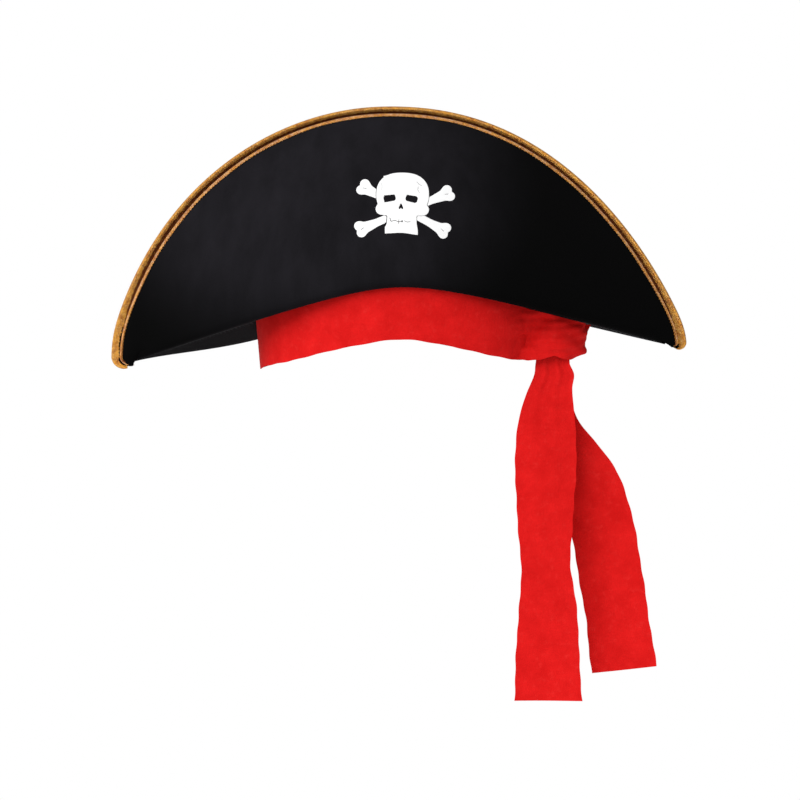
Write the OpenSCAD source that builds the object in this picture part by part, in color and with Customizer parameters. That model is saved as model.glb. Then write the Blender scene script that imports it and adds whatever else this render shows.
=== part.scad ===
// Pirate hat: a two-horned felt hat with a gold edge, a white skull and crossbones,
// and a red sash tied at one side with two hanging tails.
//
// +X runs to the knot side, -Y to the front and +Z up. The origin is the middle of the head
// opening, at the height of its lowest edge.

/* [Brim] */
// Half the width of the back flap, from the middle to a horn
brim_half_w = 229.5; // [222:0.5:235]
// Height of the back flap's crest above the head opening
brim_top = 207; // [198:1:218]
// How far the front flap's edge stays inside the back flap's at the crest
edge_step = 7.2; // [5:0.2:10]
// How far the front flap's edge stays inside the back flap's at a horn
horn_step = 7.6; // [6:0.2:9]
// Thickness of the velour and foam laminate
felt_t = 2.6; // [2:0.1:3]
// Height of the front crease above the head opening, in the middle
crease_top = 61; // [56:1:66]
// Slope of the crease towards the horns
crease_slope = 0.285; // [0.25:0.005:0.33]
// How much lower the back crease hangs than the front one, on the plain side
back_drop_plain = 11; // [5:0.5:14]
// How much lower the back crease hangs than the front one, on the knot side
back_drop_knot = -1.5; // [-2:0.5:2]

/* [Crown] */
// Half the inner width of the head opening
head_half_w = 110; // [108:1:112]
// Half the inner depth of the head opening
head_half_d = 68; // [64:1:70]
// Height of the crown's top above the head opening
crown_top_z = 115; // [110:1:120]

/* [Trim] */
// Width of the gold tape on each face of the front flap
front_tape_w = 2.6; // [2:0.2:4]
// Width of the gold tape on each face of the back flap, at the crest
back_tape_w = 6; // [4:0.5:8]
// Thickness of the gold tape
tape_t = 0.7; // [0.5:0.1:0.9]
// Width of the skull without its bones
skull_w = 41.5; // [36:0.5:46]
// Thickness of the printed transfer
print_t = 0.4; // [0.3:0.1:0.6]

/* [Sash] */
// Thickness of the sash cloth
sash_t = 0.8; // [0.6:0.1:1]
// How far the sash reaches up behind the crease
sash_tuck = 10; // [8:1:12]

/* [Hidden] */

gap = 0.2;            // air between two pieces that lie on each other
front = -1;           // the side of the XZ plane that a flap is on
back = 1;

// The brim's outline is a long superellipse whose ends are capped at the horns.
// Where two values are given, they are for the plain side and the knot side.
arc_shift = -9.3;       // its crest sits a little towards the plain side
arc_half = [237.5, 272];
arc_base = -128.4;      // height of its widest line
arc_p = [1.95, 2.21];   // exponents across
arc_q = [2.53, 1.73];   // and up
cap_power = 100;        // how sharply the cap sets in

// Where the edge turns under at each horn, and its radius.
horn_z = [12.5, 14.5];
horn_r_front = [7, 3];
horn_r_back = [9, 5.5];
horn_cols = 4;        // columns of the grid in each turned-under horn
horn_turn = 105;      // how far round the edge turns

crease_soft = 45;     // half width of the rounded middle of the crease
crease_tilt = 0.012;  // the knot side is pulled up a little
horn_inset = 20;      // the crease is this far inside the edge at the start of the turn
horn_inset_end = 16;  // and at its end
trough_d = 79;        // half depth of the brim at the crease, in the middle
horn_d = 4;           // and at a horn
edge_d_mid = 6;       // half the distance between the two edges at the crest
edge_d_horn = 2.8;    // and at a horn
lean_power = 1.3;     // how soon a flap leans in above its crease
fold_r = 5;           // radius of the fold at the crease
root_rise = 2.5;      // the seam with the crown is this far above the crease
tape_loss = 0.6;      // how much narrower the front flap's tape is at a horn
tape_gain = 3;        // and how much wider the back flap's is
hem_step = 0.7;       // how far down the hem moves with each column round a horn
keel_half_gap = 0.4;  // half the air in the seam between the flaps, under a horn
flap_cols = 72;
flap_rows = 10;

cuff_taper = 2.5;     // the head opening draws in by this much below the crease
cuff_h = 38;          // over this height
shoulder_z = 62;      // the crown's wall bends in above this height
crown_tip_share = 0.45; // size of the flat top, as a share of the opening
open_rise = 20.6;     // the opening's edge is this much higher in front
back_rise = 5;        // and higher again behind
open_slope = 0.205;
open_soft = 12;
open_tilt = 0.012;     // the knot side hangs a little lower
ring_cols = 64;

tail_t = 1.2;
swing_z = -24;        // the crosswise bend at the top of each tail
swing_r = 1.2;
neck_air = 0.4;

// Where each tail leaves the knot (X, Y, Z), and the radius of its round head in the knot.
front_pivot = [120, -28, 4];
front_pivot_r = 10;
rear_pivot = [128, -8, 4];
rear_pivot_r = 8;

// ---- functions ----

function signed_power(v, e) = sign(v) * pow(abs(v), e);
function capped(v, cap) =
    abs(v) < cap / 2 ? v
    : sign(v) * pow(pow(abs(v), -cap_power) + pow(cap, -cap_power), -1 / cap_power);
function unit(v) = v / max(norm(v), 1e-9);
function clamp01(v) = max(0, min(1, v));
function between(a, b, t) = a + (b - a) * t;

function step_x(side) = side == front ? horn_step : 0;
function step_z(side) = side == front ? edge_step : 0;

// The angle at which the outline comes down to its horn.
function end_angle(side, right) =
    let (share = (horn_z[right] - arc_base) / (brim_top - step_z(side) - arc_base))
    acos(pow(share, arc_q[right] / 2));

turn_start = 1 - 2 * horn_cols / flap_cols;
function past_turn(u) = clamp01((abs(u) - turn_start) / (1 - turn_start));

// A point of a flap's long edge: s runs from -1 at the left horn to 1 at the right one.
function arc_point(s, side) =
    let (right = s > 0 ? 1 : 0,
         angle = s * end_angle(side, right),
         half = arc_half[right] - step_x(side),
         wide = arc_shift + half * signed_power(sin(angle), 2 / arc_p[right]),
         x = capped(wide, brim_half_w - step_x(side)),
         z = arc_base + (brim_top - step_z(side) - arc_base) * pow(cos(angle), 2 / arc_q[right]))
    [x, z];

// The whole edge, with u from -1 to 1: the long edge, and a turned-under horn at each end.
function edge_point(u, side) =
    let (s = clamp01(abs(u) / turn_start) * sign(u),
         p = arc_point(s, side),
         turn = horn_turn * past_turn(u),
         r = (side == front ? horn_r_front : horn_r_back)[u > 0 ? 1 : 0],
         x = p.x - sign(u) * r * (1 - cos(turn)),
         z = p.y - r * sin(turn),
         out = between(edge_d_mid, edge_d_horn, pow(x / brim_half_w, 2)))
    [x, side * out, z];

function crease_z(x) =
    crease_top - crease_slope * (sqrt(x * x + crease_soft * crease_soft) - crease_soft)
    + crease_tilt * x;

function drop(x) =
    let (share = clamp01(abs(x) / (brim_half_w - horn_inset_end)))
    (x < 0 ? back_drop_plain : back_drop_knot) * pow(sin(180 * share), 1.5);

function trough(x) =
    let (share = clamp01(abs(x) / (brim_half_w - horn_inset_end)))
    between(horn_d, trough_d, 1 - share * share);

function crease_point(u, side) =
    let (half = brim_half_w - step_x(side) / 2,
         share = (half - horn_inset) / (brim_half_w - step_x(side)),
         s = clamp01(abs(u) / turn_start) * sign(u),
         x = arc_point(s, side).x * share + sign(u) * past_turn(u) * (horn_inset - horn_inset_end))
    [x, side * trough(x), crease_z(x) - (side == back ? drop(x) : 0)];

// Half widths and half depths of the rings round the head: off is measured outwards from the
// crown's inside face.
function ring_x(off) = head_half_w + off;
function ring_y(off) = head_half_d + off;

// The seam line of a flap: round the crown, and then along the keel to the horn.
function root_point(s, side) =
    let (x = crease_point(s, side).x,
         off = felt_t + sash_t + 2 * gap + 1.8,
         round_y = ring_y(off) * sqrt(max(0, 1 - pow(x / ring_x(off), 2))))
    [x, side * max(keel_half_gap, round_y), crease_z(x) + root_rise * (1 - pow(x / brim_half_w, 2))];

// A flap's middle surface, from its seam (row 0) round the fold to its edge (last row).
function flap_point(s, row, side) =
    let (edge = edge_point(s, side),
         crease = crease_point(s, side),
         root = root_point(s, side),
         r = min(fold_r, 0.8 * (abs(crease.y) - abs(root.y))) * (1 - 0.6 * past_turn(s)),
         t = (row - 3) / (flap_rows - 3),
         turn = 45 * (row - 1))
    row == 0 ? root
    : row < 3 ? [crease.x, crease.y - side * r * (1 - sin(turn)), crease.z + r * (1 - cos(turn))]
    : [between(crease.x, edge.x, t),
       between(edge.y, crease.y, 1 - pow(t, lean_power)),
       between(crease.z + r, edge.z, t)];

function flap_grid(side) =
    [for (i = [0 : flap_cols]) [for (j = [0 : flap_rows]) flap_point(2 * i / flap_cols - 1, j, side)]];

// The normal of a grid at one of its points.
function grid_normal(g, i, j, closed = false) =
    let (n = len(g), m = len(g[0]),
         i0 = closed ? (i + n - 1) % n : max(i - 1, 0),
         i1 = closed ? (i + 1) % n : min(i + 1, n - 1),
         j0 = max(j - 1, 0), j1 = min(j + 1, m - 1))
    unit(cross(g[i1][j] - g[i0][j], g[i][j1] - g[i][j0]));

// ---- solids made from a grid of points ----

// A sheet of thickness t round a grid, or lifted off it. Its columns may close into a ring.
module sheet(grid, t, closed = false, lift = 0) {
    n = len(grid);
    m = len(grid[0]);
    last = closed ? n - 1 : n - 2;
    points = [for (side = [1, -1]) for (i = [0 : n - 1]) for (j = [0 : m - 1])
              grid[i][j] + (lift + side * t / 2) * grid_normal(grid, i, j, closed)];
    function at(side, i, j) = side * n * m + (i % n) * m + j;
    faces = concat(
        [for (i = [0 : last]) for (j = [0 : m - 2]) each [
            [at(0, i, j), at(0, i + 1, j + 1), at(0, i + 1, j)],
            [at(0, i, j), at(0, i, j + 1), at(0, i + 1, j + 1)],
            [at(1, i, j), at(1, i + 1, j), at(1, i + 1, j + 1)],
            [at(1, i, j), at(1, i + 1, j + 1), at(1, i, j + 1)]]],
        [for (i = [0 : last]) each [
            [at(0, i, 0), at(0, i + 1, 0), at(1, i + 1, 0)],
            [at(0, i, 0), at(1, i + 1, 0), at(1, i, 0)],
            [at(0, i, m - 1), at(1, i + 1, m - 1), at(0, i + 1, m - 1)],
            [at(0, i, m - 1), at(1, i, m - 1), at(1, i + 1, m - 1)]]],
        closed ? [] : [for (j = [0 : m - 2]) each [
            [at(0, 0, j), at(1, 0, j), at(1, 0, j + 1)],
            [at(0, 0, j), at(1, 0, j + 1), at(0, 0, j + 1)],
            [at(0, n - 1, j), at(1, n - 1, j + 1), at(1, n - 1, j)],
            [at(0, n - 1, j), at(0, n - 1, j + 1), at(1, n - 1, j + 1)]]]);
    polyhedron(points, faces, convexity = 10);
}

// A bar whose cross-sections are closed loops of points, with flat ends.
module loops(sections) {
    n = len(sections);
    m = len(sections[0]);
    points = [for (section = sections) each section];
    function at(i, j) = i * m + j % m;
    faces = concat(
        [for (i = [0 : n - 2]) for (j = [0 : m - 1]) each [
            [at(i, j), at(i + 1, j), at(i + 1, j + 1)],
            [at(i, j), at(i + 1, j + 1), at(i, j + 1)]]],
        [[for (j = [0 : m - 1]) at(0, j)]],
        [[for (j = [m - 1 : -1 : 0]) at(n - 1, j)]]);
    polyhedron(points, faces, convexity = 10);
}

// ---- brim ----

module flap(side) {
    sheet(flap_grid(side), felt_t);
}

module front_flap() { color("#141316") flap(front); }
module back_flap() { color("#141316") flap(back); }

// The tape narrows towards the horns on the front flap, and widens on the back one.
function tape_width(x, side) =
    let (share = pow(abs(x) / brim_half_w, 5))
    side == front ? front_tape_w - tape_loss * share : back_tape_w + tape_gain * share;

// Where the tape's stitched hem lies across from edge point i. Round a horn, the hem gathers.
function tape_hem(grid, i) =
    let (k = max(horn_cols, min(flap_cols - horn_cols, i)),
         edge = grid[k][flap_rows],
         side = sign(edge.y),
         along = unit(grid[k + 1][flap_rows] - grid[k - 1][flap_rows]),
         inward = side * unit(cross(along, grid_normal(grid, k, flap_rows))))
    edge + tape_width(edge.x, side) * inward - [0, 0, hem_step * abs(i - k)];

// Gold tape folded over a flap's edge: a U in cross-section.
module binding(side) {
    grid = flap_grid(side);
    inside = felt_t / 2 + gap;
    outside = inside + tape_t;
    loops([for (i = [0 : flap_cols])
        let (edge = grid[i][flap_rows],
             hem = tape_hem(grid, i),
             w = norm(hem - edge),
             down = unit(hem - edge),
             outline = [[outside, w], [outside, -tape_t - gap], [-outside, -tape_t - gap],
                        [-outside, w], [-inside, w], [-inside, -gap], [inside, -gap], [inside, w]])
        [for (p = outline) edge + p.x * grid_normal(grid, i, flap_rows) + p.y * down]]);
}

module front_binding() { color("#b8792b") binding(front); }
module back_binding() { color("#b8792b") binding(back); }

// Bar tacks that hold the two flaps together just inside each horn.
module horn_tacks() {
    color("#1c1a1e")
    for (s = [-1, 1], k = [0 : 2]) {
        p = flap_point(s * (0.8 + 0.02 * k), flap_rows - 2, front);
        translate(p - [0, p.y, 0]) rotate([90, 0, 0])
            cylinder(h = 2 * (abs(p.y) - felt_t / 2 - 5 * gap), r = 0.5, center = true, $fn = 16);
    }
}

// ---- crown ----

// The head opening's edge, round the head.
function open_z(x, angle) =
    open_rise - open_slope * (sqrt(x * x + open_soft * open_soft) - open_soft) - open_tilt * x
    + back_rise * max(0, sin(angle));
function taper(z, x, angle) = cuff_taper * (1 - clamp01((z - open_z(x, angle)) / cuff_h));

// A point of a ring round the head, off outwards from the crown's inside face. Its height is a
// function of x and the angle.
function ring_point(angle, off, height) =
    let (wide = ring_x(off) * cos(angle), z = height(wide, angle), t = taper(z, wide, angle))
    [(ring_x(off) - t) * cos(angle), (ring_y(off) - t) * sin(angle), z];

crown_off = felt_t / 2;
crown_rows = 11;

function crown_point(angle, row) =
    let (wall_rows = 3,
         wide = ring_x(crown_off) * cos(angle),
         z = between(open_z(wide, angle), shoulder_z, row / wall_rows),
         turn = 90 * (row - wall_rows) / (crown_rows - wall_rows),
         share = between(crown_tip_share, 1, cos(turn)))
    row <= wall_rows ? ring_point(angle, crown_off, function (x, a) z)
    : [ring_x(crown_off) * share * cos(angle), ring_y(crown_off) * share * sin(angle),
       shoulder_z + (crown_top_z - shoulder_z) * sin(turn)];

// Half of the crown's wall, with a seam at each side of the head.
module crown_half(side) {
    seam = 0.2;
    grid = [for (i = [0 : ring_cols / 2])
        let (angle = side * (seam + (180 - 2 * seam) * i / (ring_cols / 2)))
        [for (j = [0 : crown_rows]) crown_point(angle, j)]];
    sheet(grid, felt_t);
}

module crown_front() { color("#0e0d10") crown_half(front); }
module crown_back() { color("#0e0d10") crown_half(back); }

module oval(half_w, half_d) {
    polygon([for (i = [0 : ring_cols - 1])
        let (a = 360 * i / ring_cols) [half_w * cos(a), half_d * sin(a)]]);
}

module crown_top() {
    color("#0e0d10")
    translate([0, 0, crown_top_z - felt_t / 2])
        linear_extrude(felt_t)
            oval(ring_x(crown_off) * crown_tip_share - gap, ring_y(crown_off) * crown_tip_share - gap);
}

// A closed ring of cloth round the head, between two heights.
module ring(off, t, low, high, rows) {
    sheet([for (i = [0 : ring_cols - 1])
        let (angle = 360 * i / ring_cols)
        [for (j = [0 : rows])
            ring_point(angle, off, function (x, a) between(low(x, a), high(x, a), j / rows))]],
        t, closed = true);
}

sweat_t = 0.6;
sweat_h = 25;
module sweatband() {
    color("#26242a")
        ring(-gap - sweat_t / 2, sweat_t, function (x, a) open_z(x, a) + 1,
             function (x, a) open_z(x, a) + sweat_h, 3);
}

label_w = 30;
label_h = 20;
label_t = 0.3;
label_y = head_half_d - sweat_t - 4;
label_top = open_rise + back_rise + sweat_h - 3;
module care_label() {
    color("#e9e7e2")
    translate([-label_w / 2, label_y - label_t, label_top - label_h])
        cube([label_w, label_t, label_h]);
}

module label_stitches() {
    color("#1c1a1e")
    for (k = [-3 : 3])
        translate([k * 4 - 1.2, label_y + 0.25, label_top - 1.5])
            rotate([0, 90, 0]) cylinder(h = 2.4, r = 0.22, $fn = 16);
}

// Thread tacks in the seam between the flaps and the crown.
module brim_tacks() {
    color("#1c1a1e")
    for (half = [0, 180], i = [0 : 5]) {
        angle = half + 40 + 20 * i;
        off = felt_t + sash_t + 2 * gap + 0.2;
        x = ring_x(off) * cos(angle);
        y = ring_y(off) * sin(angle);
        translate([x, y, crease_z(x) + root_rise])
            cylinder(h = 4, r = 0.2, center = true, $fn = 16);
    }
}

// ---- print on the front flap ----

// A thin patch that follows the front flap's outer face, behind the print's outline.
module print_patch() {
    patch_cols = 14;
    patch_rows = 8;
    half = 46;
    grid = [for (i = [0 : patch_cols])
        let (x = between(-half, half, i / patch_cols),
             crease = [x, -trough(x), crease_z(x)],
             edge_z = brim_top - step_z(front),
             edge_y = -edge_d_mid)
        [for (j = [0 : patch_rows])
            let (z = between(92, 166, j / patch_rows),
                 t = (z - crease.z - fold_r) / (edge_z - crease.z - fold_r))
            [x, between(edge_y, crease.y, 1 - pow(t, lean_power)), z]]];
    sheet(grid, print_t, lift = (felt_t + print_t) / 2 + gap);
}

print_x = 4;
print_z = 126;
print_turn = -2.4;    // the print sits a little askew
bone_turn = 26;
bone_half_l = 36.7;

module skull_outline() {
    scale(skull_w / 42.5) difference() {
        union() {
            hull() {
                for (s = [-1, 1]) {
                    translate([s * 9.5, 14]) circle(r = 11.5, $fn = 48);
                    translate([s * 13.2, 8]) circle(r = 8, $fn = 48);
                    translate([s * 11, 0]) circle(r = 7, $fn = 32);
                }
            }
            for (s = [-1, 1]) translate([s * 16.6, -4.8]) circle(r = 4.6, $fn = 32);
            polygon([[-17, 0], [17, 0], [17, -9.2], [12, -10], [11.6, -18], [12.8, -25.2], [6, -25],
                     [0, -23.8], [-6, -25], [-12.8, -25.2], [-11.6, -18], [-12, -10], [-17, -9.2]]);
        }
        for (s = [-1, 1]) translate([s * 9, 4.2]) rotate(-s * 14)
            hull() for (e = [-2.4, 2.4]) translate([e, 0]) circle(r = 2.6, $fn = 32);
        polygon([[-1.7, -4.4], [0, 0], [1.7, -4.4], [0, -3.7]]);
        translate([-8, -15.4]) square([16, 0.5]);
        for (k = [-2 : 2]) translate([3 * k - 0.2, -16.6]) square([0.4, 2.8]);
    }
}

module bone_outline() {
    for (s = [-1, 1], e = [-1, 1])
        translate([s * bone_half_l, e * 3]) circle(r = 4.2, $fn = 32);
    square([2 * bone_half_l, 6.6], center = true);
}

module on_flap() {
    intersection() {
        translate([print_x, 0, print_z]) rotate([90, 0, 0]) linear_extrude(100) rotate(print_turn)
            children();
        print_patch();
    }
}

module skull_transfer() { color("white") on_flap() skull_outline(); }

module bones_transfer() {
    color("white") on_flap() difference() {
        union() {
            for (s = [-1, 1]) translate([1, -4.5]) rotate(s * bone_turn) bone_outline();
        }
        offset(r = 0.8) fill() skull_outline();
    }
}

// ---- sash ----

module sash_band() {
    color("#d4171a")
        ring(felt_t + gap + sash_t / 2, sash_t, function (x, a) open_z(x, a) - 0.5,
             function (x, a) crease_z(x) + sash_tuck, 5);
}

// The slot that a tail's neck turns in.
module neck_slot(pivot, r) {
    translate([pivot.x, pivot.y, pivot.z]) rotate([90, 0, 0])
        cylinder(h = tail_t + 2 * neck_air, r = r + neck_air, center = true);
    translate([pivot.x - 40, pivot.y - tail_t / 2 - neck_air, pivot.z - 30])
        cube([80, tail_t + 2 * neck_air, 30]);
}

// The knot: a bunched lump beside the crown, with a slot for each tail's neck.
module sash_knot() {
    color("#c21316")
    difference() {
        hull() {
            translate([112, -24, 23]) sphere(r = 10, $fn = 24);
            translate([120, -27, 14]) sphere(r = 12, $fn = 24);
            translate([124, 0, 15]) sphere(r = 11, $fn = 24);
            translate([119, -18, 26]) sphere(r = 9.5, $fn = 24);
            translate([141, -14, 20.5]) sphere(r = 8.5, $fn = 24);
            translate([142, -14, 13]) sphere(r = 6.5, $fn = 24);
            translate([135, -15, 8]) sphere(r = 7.5, $fn = 24);
        }
        translate([0, 0, -20]) linear_extrude(80)
            oval(ring_x(felt_t + sash_t + 2 * gap), ring_y(felt_t + sash_t + 2 * gap));
        neck_slot(front_pivot, front_pivot_r);
        neck_slot(rear_pivot, rear_pivot_r);
    }
}

// The pinched top of a tail: a round head in the knot, and a blade down to the bend.
module neck(pivot, r, foot_l, foot_r) {
    foot_z = swing_z + swing_r + neck_air;
    brow = 40;    // the blade leaves the head this far below its middle, so that it can sway
    color("#c21316")
    translate([0, pivot.y + tail_t / 2, 0]) rotate([90, 0, 0]) {
        translate([pivot.x, pivot.z, 0]) cylinder(h = tail_t, r = r, $fn = 48);
        linear_extrude(tail_t)
            polygon([[pivot.x - r * cos(brow), pivot.z - r * sin(brow)],
                     [pivot.x + r * cos(brow), pivot.z - r * sin(brow)],
                     [foot_r, foot_z], [foot_l, foot_z]]);
    }
}

// A tail hangs from a rolled top edge, which is the bend's axis.
module tail(y, outline, top_l, top_r) {
    color("#d4171a") {
        translate([0, y + tail_t / 2, 0]) rotate([90, 0, 0]) linear_extrude(tail_t) polygon(outline);
        translate([top_l, y, swing_z]) rotate([0, 90, 0])
            cylinder(h = top_r - top_l, r = swing_r, $fn = 24);
    }
}

// Outlines of the two tails in X and Z, down one edge and up the other.
front_outline = [[102, -24], [94, -42], [91, -72], [92, -116], [95, -168], [89, -221], [88, -268],
                 [141, -269], [138, -232], [139, -197], [134, -159], [135, -134], [139, -94],
                 [140, -46], [136, -24]];
rear_outline = [[115, -24], [119, -50], [126, -95], [135, -134], [144, -201], [150, -247], [201, -242],
                [197, -212], [188, -150], [181, -106], [174, -87], [164, -73], [151, -58],
                [141, -45], [137, -24]];

module front_neck() { neck(front_pivot, front_pivot_r, 102, 136); }
module front_tail() { tail(front_pivot.y, front_outline, 102, 136); }
module rear_neck() { neck(rear_pivot, rear_pivot_r, 115, 137); }
module rear_tail() { tail(rear_pivot.y, rear_outline, 115, 137); }

front_flap();
back_flap();
front_binding();
back_binding();
crown_front();
crown_back();
crown_top();
sweatband();
care_label();
skull_transfer();
bones_transfer();
horn_tacks();
brim_tacks();
label_stitches();
sash_band();
sash_knot();
front_neck();
front_tail();
rear_neck();
rear_tail();
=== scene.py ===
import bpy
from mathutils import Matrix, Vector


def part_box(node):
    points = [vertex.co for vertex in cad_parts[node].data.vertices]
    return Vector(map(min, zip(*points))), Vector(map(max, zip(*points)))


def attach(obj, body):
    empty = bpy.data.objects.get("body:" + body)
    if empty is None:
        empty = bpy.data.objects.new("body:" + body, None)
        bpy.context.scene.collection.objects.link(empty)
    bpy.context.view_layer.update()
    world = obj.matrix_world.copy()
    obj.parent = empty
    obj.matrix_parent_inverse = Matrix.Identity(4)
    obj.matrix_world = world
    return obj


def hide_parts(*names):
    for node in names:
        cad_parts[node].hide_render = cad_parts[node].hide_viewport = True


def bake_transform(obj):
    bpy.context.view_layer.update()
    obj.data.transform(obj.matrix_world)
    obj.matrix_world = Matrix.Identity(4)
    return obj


bl_info = {
    "name": "Pirate Hat",
    "version": (1, 0, 0),
    "blender": (4, 5, 0),
    "location": "View3D > Sidebar > Pirate Hat",
    "description": "Builds a two-horned felt hat with a gold edge, a print and a knotted red sash",
    "category": "Add Mesh",
}

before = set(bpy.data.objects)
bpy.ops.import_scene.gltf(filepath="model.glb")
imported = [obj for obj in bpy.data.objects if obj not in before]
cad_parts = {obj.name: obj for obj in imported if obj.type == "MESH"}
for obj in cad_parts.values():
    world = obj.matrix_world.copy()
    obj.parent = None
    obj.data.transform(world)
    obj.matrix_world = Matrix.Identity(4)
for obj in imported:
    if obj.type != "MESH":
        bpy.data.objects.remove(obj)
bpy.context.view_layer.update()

import math

import bpy
import numpy as np
from mathutils import Euler, Vector

MM = 0.001
FRONT, BACK = -1, 1

# ---------------------------------------------------------------- shape of the hat, in millimetres

# Where two values are given, they are for the plain side and the knot side.

# The arc of the brim's edge: its centre, half width and powers, then how bluntly it ends.
ARC_SHIFT, ARC_BASE = -9.3, -128.4
ARC_HALF = (237.5, 272.0)
ARC_P, ARC_Q = (1.95, 2.21), (2.53, 1.73)
CAP_POWER = 100.0
# The horns: where they start to curl under, the curl, and how far the crease stays inside them.
HORN_Z = (12.5, 14.5)
HORN_R = {FRONT: (7.0, 3.0), BACK: (9.0, 5.5)}
TURN_START = 8 / 9
HORN_TURN = math.radians(105)
HORN_INSET, HORN_INSET_END = 20.0, 16.0
# The crease: its fall towards the horns, its distance from the middle, the back one's drops.
CREASE_SLOPE, CREASE_SOFT, CREASE_TILT = 0.285, 45.0, 0.012
TROUGH_D, HORN_D = 79.0, 4.0
BACK_DROPS = (11.0, -1.5)
# The flap's edge from the middle, its lean and fold, and its root on the crown.
EDGE_D_MID, EDGE_D_HORN = 6.0, 2.8
LEAN_POWER = 1.3
FOLD_R = 5.0
ROOT_RISE, ROOT_OFF = 2.5, 5.6
KEEL_HALF_GAP = 0.4
# The crown: the head's oval, the drawn-in cuff, the opening's edge, the shoulder and the flat top.
HEAD_HALF_W, HEAD_HALF_D = 110.0, 68.0
CROWN_OFF = 1.3
CUFF_TAPER, CUFF_H = 2.5, 38.0
OPEN_RISE, OPEN_SLOPE, OPEN_SOFT, OPEN_TILT = 20.6, 0.205, 12.0, 0.012
BACK_RISE = 5.0
SHOULDER_Z = 62.0
CROWN_TIP_SHARE = 0.45
# The opening's edge is pulled up beside the knot, from this x and over this distance.
KNOT_LIFT, KNOT_LIFT_X, KNOT_LIFT_RUN = 4, 92, 18


def between(a, b, t):
    return a + (b - a) * t


def smooth(t):
    t = np.clip(t, 0, 1)
    return t * t * (3 - 2 * t)


def bump(x, middle, width):
    """A soft rise of height 1 round middle."""
    return np.exp(-(((x - middle) / width) ** 2))


def unit(v):
    return v / np.maximum(np.linalg.norm(v, axis=-1, keepdims=True), 1e-9)


def full_turn(count):
    return np.linspace(0, 2 * np.pi, count, endpoint=False)


def tangents(path, closed=False):
    """The way along a path, or along a grid's first axis."""
    if closed:
        return np.roll(path, -1, 0) - np.roll(path, 1, 0)
    return np.gradient(path, axis=0)


def distances(path):
    """How far along a path each of its points is."""
    return np.concatenate([[0], np.cumsum(np.linalg.norm(np.diff(path, axis=0), axis=1))])


def on_arc(u):
    """From -1 to 1 between the places where the two horns start to curl."""
    return np.clip(np.abs(u) / TURN_START, 0, 1) * np.sign(u)


def past_arc(u):
    """From 0 where a horn starts to curl to 1 at its tip."""
    return np.clip((np.abs(u) - TURN_START) / (1 - TURN_START), 0, 1)


def crease_z(x, top):
    """Height of the brim's crease."""
    soft = np.sqrt(x * x + CREASE_SOFT**2) - CREASE_SOFT
    return top - CREASE_SLOPE * soft + CREASE_TILT * x


def open_z(x, angle):
    """Height of the opening's edge."""
    soft = np.sqrt(x * x + OPEN_SOFT**2) - OPEN_SOFT
    level = OPEN_RISE - OPEN_SLOPE * soft - OPEN_TILT * x
    level = level + KNOT_LIFT * smooth((x - KNOT_LIFT_X) / KNOT_LIFT_RUN)
    return level + BACK_RISE * np.maximum(0, np.sin(angle))


def taper(z, x, angle):
    """How far the cuff is drawn in at height z."""
    return CUFF_TAPER * (1 - np.clip((z - open_z(x, angle)) / CUFF_H, 0, 1))


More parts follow.
